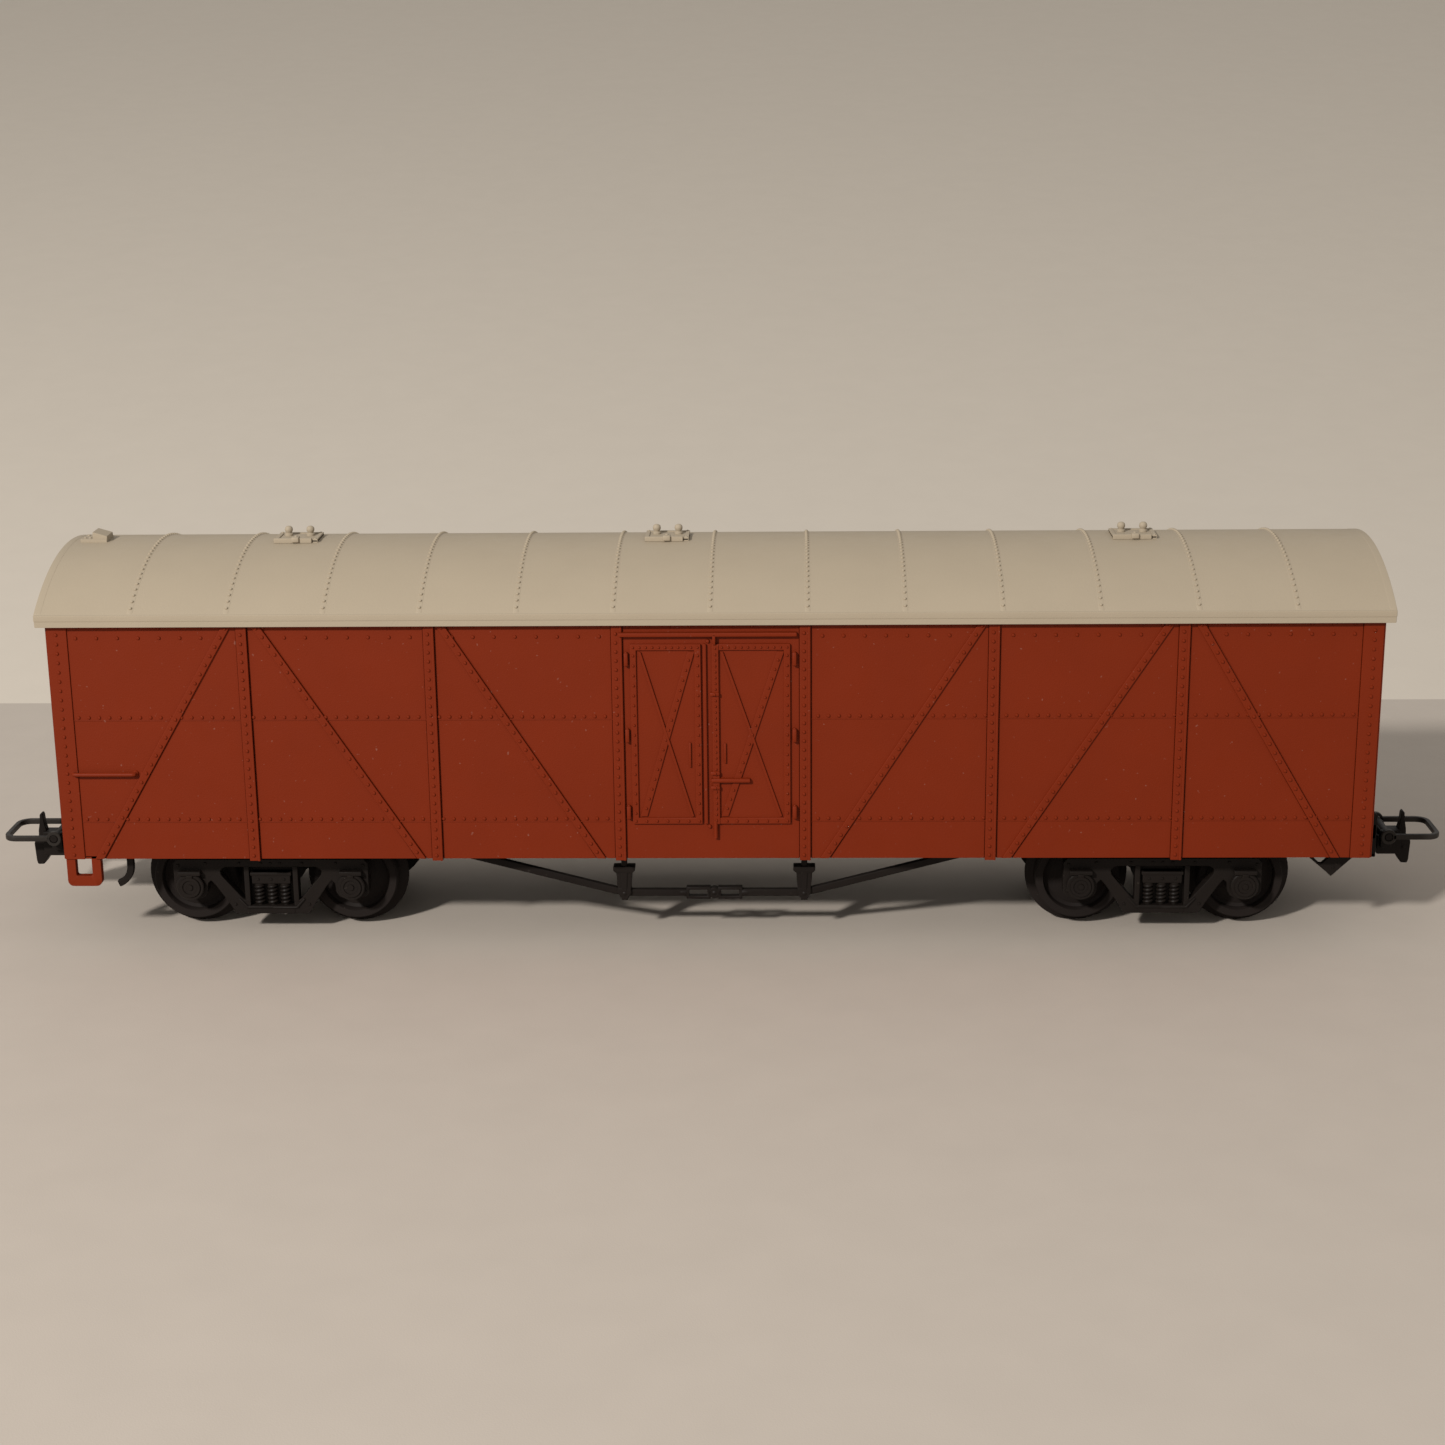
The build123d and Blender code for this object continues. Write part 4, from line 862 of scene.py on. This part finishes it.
def springs(bm, x):
    """Three coil springs between the plank and the bolster's end."""
    block(bm, (x - 2.4, x + 2.4), (-SIDE_OUTER - 0.1, -SIDE_INNER), (SPRING_TOP + 0.2, BOLSTER_TOP), 0.12)
    block(bm, (x - 2.55, x + 2.55), (-SIDE_OUTER - 0.2, -SIDE_INNER), (BOLSTER_TOP - 0.45, BOLSTER_TOP), 0.1)
    low, high = SPRING_SEAT - 0.1, SPRING_TOP
    core = [(0, low), (0.36, low), (0.36, high), (0, high)]
    cap = [(0, high - 0.15), (0.6, high - 0.15), (0.62, high - 0.05), (0.62, high + 0.2), (0, high + 0.25)]
    for u in (-SPRING_PITCH, 0, SPRING_PITCH):
        centre = (x + u, -SIDE_OUTER + 0.55)
        lathe(bm, core, centre, "z", 12)
        lathe(bm, cap, centre, "z", 18)
        coil(bm, *centre, (SPRING_SEAT + 0.1, SPRING_TOP - 0.1), 0.5, 0.17, SPRING_TURNS)
        rivet(bm, Vector((x + u, -SIDE_OUTER - 0.1, 7.2)), NEAR, 0.2, 0.12)


def bogie_frame(x):
    """Both side frames joined by the bolster, which carries the round centre plate."""
    bm = bmesh.new()
    side_frame(bm, 0)
    springs(bm, 0)
    for sign in (-1, 1):
        journal_box(bm, sign * AXLE_OFFSET)
    add_half_turn(bm)
    reach = SIDE_INNER + 0.2
    bolster = [(-reach, 6.2), (-7, 5.6), (7, 5.6), (reach, 6.2), (reach, BOLSTER_TOP), (-reach, BOLSTER_TOP)]
    prism(bm, bolster, "x", -2.8, 2.8, 0.15)
    low, high = BOLSTER_TOP - 0.1, CENTRE_PLATE_TOP
    plate = [(1.6, low), (4.0, low), (4.0, high - 0.1), (3.9, high), (1.6, high)]
    lathe(bm, plate, (0, 0), "z", 40)
    bm.transform(Matrix.Translation((x, 0, 0)))
    return bm


# ---------------------------------------------------------------- underframe


def underframe():
    """Floor, centre sill, side sills, cross bearers and the two bosses for the bogies."""
    bm = bmesh.new()
    top, bottom, sill = FLOOR_HIGH.z, FLOOR_HIGH.z - 1.0, FLOOR_LOW.z + 2.2
    half_x, half_y = FLOOR_HIGH.x, FLOOR_HIGH.y
    block(bm, (-half_x + 0.02, half_x - 0.02), (-half_y + 0.02, half_y - 0.02), (bottom, top))
    rear = POCKET_LOW.x
    for sign in (-1, 1):
        flange = sorted((sign * 1.7, sign * 2.6))
        block(bm, (-rear, rear), flange, (sill, bottom + 0.1))
        side = sorted((sign * 12.2, sign * 13.9))
        block(bm, (-38.0, 38.0), side, (sill, bottom + 0.1))
        for x in (sign * bearer for bearer in CROSS_BEARERS):
            block(bm, (x - 1, x + 1), (-half_y + 0.05, half_y - 0.05), (sill, bottom + 0.1))
            rivet_row(bm, (x, -10, sill), (x, 10, sill), 2.0, Vector((0, 0, -1)), 0.25, 0.12)
        low, high = FLOOR_LOW.z, bottom + 0.1
        profile = [(1.5, low), (2.9, low), (3.0, low + 0.1), (3.0, high), (1.5, high)]
        lathe(bm, profile, (sign * BOGIE_X, 0), "z", 36)
    block(bm, (-rear, rear), (-1.8, 1.8), (bottom - 1.6, bottom + 0.1))
    return bm


def strip(bm, path, half_height, y_range, edge=EDGE):
    """A flat bar on edge along a path of (x, z) points."""
    upper, lower = [], []
    for number, (x, z) in enumerate(path):
        before, after = path[max(number - 1, 0)], path[min(number + 1, len(path) - 1)]
        run, rise = after[0] - before[0], after[1] - before[1]
        length = hypot(run, rise)
        upper.append((x - rise / length * half_height, z + run / length * half_height))
        lower.append((x + rise / length * half_height, z - run / length * half_height))
    prism(bm, upper + lower[::-1], "y", *y_range, edge)


def truss_rod():
    """The near truss rod: strip, flared ends under the sill, and a turnbuckle with two slots."""
    bm = bmesh.new()
    depth = (-TRUSS_Y - 0.42, -TRUSS_Y + 0.42)
    path = [(31.6, TRUSS_TOP - 0.35), (QUEEN_X + 1.2, TRUSS_Z + 0.3), (QUEEN_X, TRUSS_Z + 0.08)]
    path += [(QUEEN_X - 1, TRUSS_Z), (3.2, TRUSS_Z)]
    near, back = -TRUSS_Y - 0.5, -TRUSS_Y + 0.5
    foot = [(29.6, TRUSS_TOP - 0.9), (33.6, TRUSS_TOP - 0.02), (29.4, TRUSS_TOP - 0.02)]
    nut = [(0, 3.3), (0.48, 3.3), (0.55, 3.45), (0.46, 4.2), (0, 4.2)]
    for sign in (-1, 1):
        strip(bm, [(sign * x, z) for x, z in path], 0.46, depth, 0.14)
        prism(bm, [(sign * x, z) for x, z in foot], "y", *depth, 0.06)
        left, right = sorted((sign * 0.45, sign * 3.45))
        outer = rectangle((left, right), (TRUSS_Z - 0.78, TRUSS_Z + 0.78))
        inner = rectangle((left + 0.35, right - 0.4), (TRUSS_Z - 0.4, TRUSS_Z + 0.4))
        ring(bm, outer, inner, "y", near, back, 0.1)
        lathe(bm, [(radius, sign * along) for radius, along in nut], (-TRUSS_Y, TRUSS_Z), "x", 16)
    hub = [(0, near), (0.62, near), (0.72, near + 0.1), (0.72, back - 0.1), (0.62, back), (0, back)]
    lathe(bm, hub, (0, TRUSS_Z), "y", 24)
    rivet(bm, Vector((0, near, TRUSS_Z)), NEAR, 0.3, 0.12)
    return bm


def queen_posts():
    """Four posts: neck, cap, ribbed tapering leg and a pin under the truss rod."""
    bm = bmesh.new()
    top, bottom = POST_HIGH.z, POST_LOW.z
    near, back = -TRUSS_Y - 0.8, -TRUSS_Y + 0.8
    for sign in (-1, 1):
        x = sign * QUEEN_X
        block(bm, (x - 0.36, x + 0.36), (-TRUSS_Y - 0.5, -TRUSS_Y + 0.5), (8.9, top), 0.1)
        cap = [(-1.05, 8.3), (1.05, 8.3), (1.35, 8.6), (1.35, 9.1), (-1.35, 9.1), (-1.35, 8.6)]
        prism(bm, [(x + u, v) for u, v in cap], "y", near, back, 0.1)
        leg = [(-0.8, 6.1), (0.8, 6.1), (1.0, 8.4), (-1.0, 8.4)]
        prism(bm, [(x + u, v) for u, v in leg], "y", near + 0.1, back - 0.1, 0.1)
        rib = [(-0.3, 5.9), (0.3, 5.9), (0.4, 8.5), (-0.4, 8.5)]
        prism(bm, [(x + u, v) for u, v in rib], "y", near, back, 0.08)
        tip = bottom + 0.05
        foot = [(-0.85, 5.7), (-0.3, tip), (0.3, tip), (0.85, 5.7), (0.8, 6.3), (-0.8, 6.3)]
        for depth in ((near + 0.05, near + 0.4), (back - 0.4, back - 0.05)):
            prism(bm, [(x + u, v) for u, v in foot], "y", *depth, 0.1)
        block(bm, (x - 0.4, x + 0.4), (near + 0.2, back - 0.2), (bottom, bottom + 0.35), 0.08)
        rivet(bm, Vector((x, near + 0.05, TRUSS_Z)), NEAR, 0.27, 0.1)
    add_half_turn(bm)
    return bm


def pipe_hook():
    """A flat strip hung from the floor and curled into a hook."""
    bm = bmesh.new()
    centre_x, centre_z, radius = -74.2, 9.4, 2.35
    hung_x = centre_x + radius
    path = [(hung_x, FLOOR_HIGH.z - 1.0), (hung_x, centre_z + 1.0)]
    path += [(centre_x + radius * cos(turn), centre_z + radius * sin(turn))
             for turn in (radians(-degrees) for degrees in range(0, 73, 8))]
    strip(bm, path, 0.42, HANGER, 0.12)
    block(bm, (hung_x - 0.7, hung_x + 0.45), HANGER, (FLOOR_HIGH.z - 1.5, FLOOR_HIGH.z - 1.02))
    return bm


def guard_bracket():
    """A solid wedge with a thin strut beside it and a riveted rib."""
    bm = bmesh.new()
    wedge = [(73.6, 9.4), (75.0, 8.0), (78.0, 10.9), (78.0, 13.98), (75.4, 13.98), (75.4, 11.2)]
    prism(bm, wedge, "y", *HANGER, 0.1)
    strut = [(70.9, 11.6), (74.6, 8.4), (74.4, 9.6), (73.5, 9.7), (71.5, 11.6)]
    prism(bm, strut, "y", HANGER[0] + 0.1, HANGER[1] - 0.1, 0.08)
    for x, z in ((75.2, 9.2), (76.6, 10.6), (76.8, 12.6)):
        rivet(bm, Vector((x, HANGER[0], z)), NEAR, 0.2, 0.12)
    return bm


# ---------------------------------------------------------------- couplers


def coupler_pocket():
    """The +X draft box: four walls round the shank, and the striker with its sloping top."""
    bm = bmesh.new()
    low, high = POCKET_LOW, POCKET_HIGH
    shelf, ceiling = SHANK[0] - SHANK_CLEARANCE, SHANK[1] + SHANK_CLEARANCE
    half = high.y
    wall = 0.6
    back = HALF_LENGTH + END_RELIEF
    block(bm, (low.x, high.x), (-half, half), (low.z, shelf), 0.12)
    for sign in (-1, 1):
        side = sorted((sign * (half - wall), sign * half))
        block(bm, (low.x, high.x), side, (low.z + 0.05, BODY_BOTTOM - 0.05), 0.12)
    block(bm, (low.x, low.x + wall), (-half, half), (low.z, BODY_BOTTOM), 0.1)
    block(bm, (low.x, HALF_LENGTH - WALL), (-half, half), (ceiling, high.z), 0.12)
    striker = [(back, ceiling), (high.x, ceiling), (high.x, high.z - STRIKER_SLOPE)]
    striker += [(high.x - STRIKER_SLOPE, high.z), (back, high.z)]
    prism(bm, striker, "y", -half, half, 0.15)
    under_wall = (HALF_LENGTH - WALL - 0.1, back + 0.1)
    block(bm, under_wall, (-half, half), (ceiling, BODY_BOTTOM - 0.02))
    block(bm, (back, back + 0.7), (-half, half), (BODY_BOTTOM - 0.4, high.z - 0.3), 0.1)
    for sign in (-1, 1):
        for z in (low.z + 1.2, high.z - 2.2):
            rivet(bm, Vector((back + 1.2, sign * half, z)), Vector((0, sign, 0)), 0.24, 0.1)
    return bm


def coupler_head():
    """The +X shank and head: eye, shank, cheeks with trunnions, horn and tapered jaw."""
    bm = bmesh.new()
    low, high = SHANK
    eye = [(0.8, low), (1.65, low), (1.7, low + 0.06), (1.7, high - 0.06), (1.65, high), (0.8, high)]
    lathe(bm, eye, (PIVOT_X, 0), "z", 32)
    block(bm, (PIVOT_X + 1.2, 86.4), (-1.3, 1.3), (low, high), 0.12)
    block(bm, (83.5, 86.5), (-1.6, 1.6), (6.5, 9.0), 0.18)
    cheek = [(83.72, 7.6), (85.1, 7.6), (85.1, 9.5), (84.9, 9.85), (83.9, 9.85), (83.72, 9.6)]
    for sign in (-1, 1):
        prism(bm, cheek, "y", *sorted((sign * 1.5, sign * 2.6)), 0.14)
    block(bm, (83.8, 85.0), (-1.8, 1.8), (8.4, 9.7), 0.14)
    trunnion = [(0, -3.9), (0.42, -3.9), (0.5, -3.82), (0.5, 3.82), (0.42, 3.9), (0, 3.9)]
    lathe(bm, trunnion, (LOOP_PIVOT_X, LOOP_Z), "y", 20)
    horn = [(86.1, 6.9), (87.45, 6.9), (87.3, 9.6), (87.1, 10.6), (87.02, 11.6), (86.92, 11.84)]
    horn += [(86.7, 11.84), (86.6, 11.6), (86.52, 10.6), (86.3, 9.6)]
    prism(bm, horn, "y", -0.6, 0.6, 0.14)
    jaw = [(85.65, 6.9), (86.8, 5.15), (87.6, 5.12), (87.75, 5.6), (87.88, 7.9), (87.7, 8.55), (85.65, 8.55)]
    prism(bm, jaw, "y", -1.0, 1.0, 0.16)
    block(bm, (84.2, 86.6), (-1.1, 1.1), (8.6, 9.5), 0.16)
    rivet(bm, Vector((87.0, -1.0, 7.3)), NEAR, 0.25, 0.12)
    return bm


def coupler_loop():
    """The +X loop: one flat bar bent round with an eye at each end."""
    bm = bmesh.new()
    half, tip, corner, bar = LOOP_HIGH.y, LOOP_HIGH.x, 1.7, 0.6
    low, high = LOOP_Z - 0.35, LOOP_Z + 0.35
    outlines = []
    for inset in (0, bar):
        radius = corner - inset
        bend_x, bend_y = tip - corner, half - corner
        turns = [radians(angle) for angle in range(0, 91, 15)]
        upper = [(bend_x + radius * sin(turn), bend_y + radius * cos(turn)) for turn in turns]
        points = [(LOOP_PIVOT_X + 0.5, half - inset)] + upper
        outlines.append(points + [(x, -y) for x, y in reversed(points)])
    outer, inner = outlines
    prism(bm, outer + inner[::-1], "z", low, high, 0.13)
    for sign in (-1, 1):
        start, end = sorted((sign * (half - bar), sign * half))
        profile = [(0.56, start), (0.88, start), (0.95, start + 0.07)]
        profile += [(0.95, end - 0.07), (0.88, end), (0.56, end)]
        lathe(bm, profile, (LOOP_PIVOT_X, LOOP_Z), "y", 28)
    return bm


# ---------------------------------------------------------------- the whole car


def build_body():
    """Body, roof and everything fixed to them."""
    red, cream = "red_plastic", "cream_plastic"
    finish_piece("body_walls", walls(), red, "car_body", ["body_shell"])
    for draw in (side_panels, side_framing, doors, end_framing, corner_steps, grab_irons):
        finish_piece(f"body_{draw.__name__}", draw(), red, "car_body")
    finish_piece("roof_skin", roof_skin(), cream, "car_body", ["roof"])
    finish_piece("roof_seams", roof_seams(), cream, "car_body")
    for number in (1, 2, 3):
        node = f"roof_hatch_{number}"
        finish_piece(f"hatch_{number}", roof_hatch(node), cream, "car_body", [node])
    finish_piece("end_bracket", roof_bracket(), cream, "car_body", ["roof_bracket"])


def build_underside():
    """Underframe, truss rods, posts and the small brackets."""
    for name, draw, node, matrix in (
        ("floor_and_sills", underframe, "underframe", None),
        ("truss_near", truss_rod, "truss_rod_near", None),
        ("truss_far", truss_rod, "truss_rod_far", HALF_TURN),
        ("truss_posts", queen_posts, "queen_posts", None),
        ("hook_strip", pipe_hook, "pipe_hook", None),
        ("end_guard", guard_bracket, "guard_bracket", None),
    ):
        finish_piece(name, draw(), "black_plastic", "car_body", [node], matrix)


def build_couplers():
    """Pocket, head and loop at both ends."""
    black, metal = "black_plastic", "blackened_metal"
    for letter, matrix in (("a", HALF_TURN), ("b", None)):
        name, loop = f"coupler_{letter}", f"loop_{letter}"
        finish_piece(f"{name}_box", coupler_pocket(), black, "car_body", [f"{name}_pocket"], matrix)
        finish_piece(f"{name}_shank", coupler_head(), black, name, [f"{name}_head"], matrix)
        finish_piece(f"{name}_link", coupler_loop(), metal, loop, [f"{name}_loop"], matrix)


def build_running_gear():
    """Two bogies and four wheelsets."""
    for letter, centre in (("a", -BOGIE_X), ("b", BOGIE_X)):
        body = f"bogie_{letter}"
        finish_piece(f"{body}_sides", bogie_frame(centre), "black_plastic", body, [f"{body}_frame"])
    for number in range(1, 5):
        x = middle(f"axle_{number}").x
        body = f"wheelset_{number}"
        finish_piece(f"shaft_{number}", axle(x), "steel", body, [f"axle_{number}"])
        for side, sign in (("near", -1), ("far", 1)):
            node = f"wheel_{number}_{side}"
            finish_piece(f"disc_{number}_{side}", wheel(x, sign), "wheel_plastic", body, [node])


def paint_hidden_nodes():
    """Give the CAD nodes that stay visible their own materials."""
    for subpart in frame["record"]["subparts"]:
        node = frame["nodes"][subpart["node"]]
        node.data.materials.clear()
        node.data.materials.append(MATERIALS[subpart["material_slot"]])


# ---------------------------------------------------------------- camera, light and set


def add_sheet(name, points, card):
    """One flat sheet of the set."""
    mesh = bpy.data.meshes.new(name)
    mesh.from_pydata([Vector(point) for point in points], [], [(0, 1, 2, 3)])
    mesh.materials.append(card)
    sheet = bpy.data.objects.new(name, mesh)
    bpy.context.scene.collection.objects.link(sheet)


def add_set():
    """A pale floor, and behind the car a pale sheet that rises gently, so that no view is blocked."""
    floor_card = backdrop_surface("floor_card", (0.455, 0.402, 0.349), 0.015, 0.2)
    rise_card = backdrop_surface("rise_card", (0.55, 0.495, 0.425), 0.01, 0.2)
    half, wide = FLOOR_HALF, RISE_FAR_Y
    add_sheet("floor", [(-half, -half, 0), (half, -half, 0), (half, half, 0), (-half, half, 0)], floor_card)
    near, far = (RISE_NEAR_Y, 0), (RISE_FAR_Y, RISE_FAR_Z)
    add_sheet("rise", [(-wide, *near), (wide, *near), (wide, *far), (-wide, *far)], rise_card)


def add_light(name, location, target, size, watts, colour):
    """A soft square light aimed at a point."""
    data = bpy.data.lights.new(name, "AREA")
    data.size = size
    data.energy = watts
    data.color = colour
    lamp = bpy.data.objects.new(name, data)
    lamp.location = location
    lamp.rotation_euler = (Vector(target) - Vector(location)).to_track_quat("-Z", "Y").to_euler()
    bpy.context.scene.collection.objects.link(lamp)


def add_lights():
    """One soft key light from the upper front left and an even surround."""
    add_light("key", KEY_PLACE, KEY_TARGET, KEY_SIZE, KEY_WATTS, LIGHT_COLOUR)
    world = bpy.data.worlds.new("surround")
    world.use_nodes = True
    shade = world.node_tree.nodes["Background"]
    shade.inputs["Color"].default_value = (*LIGHT_COLOUR, 1)
    shade.inputs["Strength"].default_value = SURROUND_STRENGTH
    bpy.context.scene.world = world


def add_camera():
    """A view of the near side from a little above the roof, with a slight turn and roll."""
    yaw, pitch, roll = CAMERA_YAW, CAMERA_PITCH, CAMERA_ROLL
    forward = Vector((-sin(yaw) * cos(pitch), cos(yaw) * cos(pitch), -sin(pitch)))
    right = Vector((cos(yaw), sin(yaw), 0))
    up = right.cross(forward)
    rolled_right = right * cos(roll) + up * sin(roll)
    rolled_up = up * cos(roll) - right * sin(roll)
    data = bpy.data.cameras.new("camera")
    data.lens = CAMERA_LENS
    data.clip_start = 0.01
    data.clip_end = 10
    camera = bpy.data.objects.new("camera", data)
    axes = Matrix((rolled_right, rolled_up, -forward)).transposed().to_4x4()
    camera.matrix_world = Matrix.Translation(CAMERA_PLACE) @ axes
    bpy.context.scene.collection.objects.link(camera)
    bpy.context.scene.camera = camera


build_body()
build_underside()
build_couplers()
build_running_gear()
paint_hidden_nodes()
add_set()
add_lights()
add_camera()
bpy.context.scene.view_settings.view_transform = "Standard"
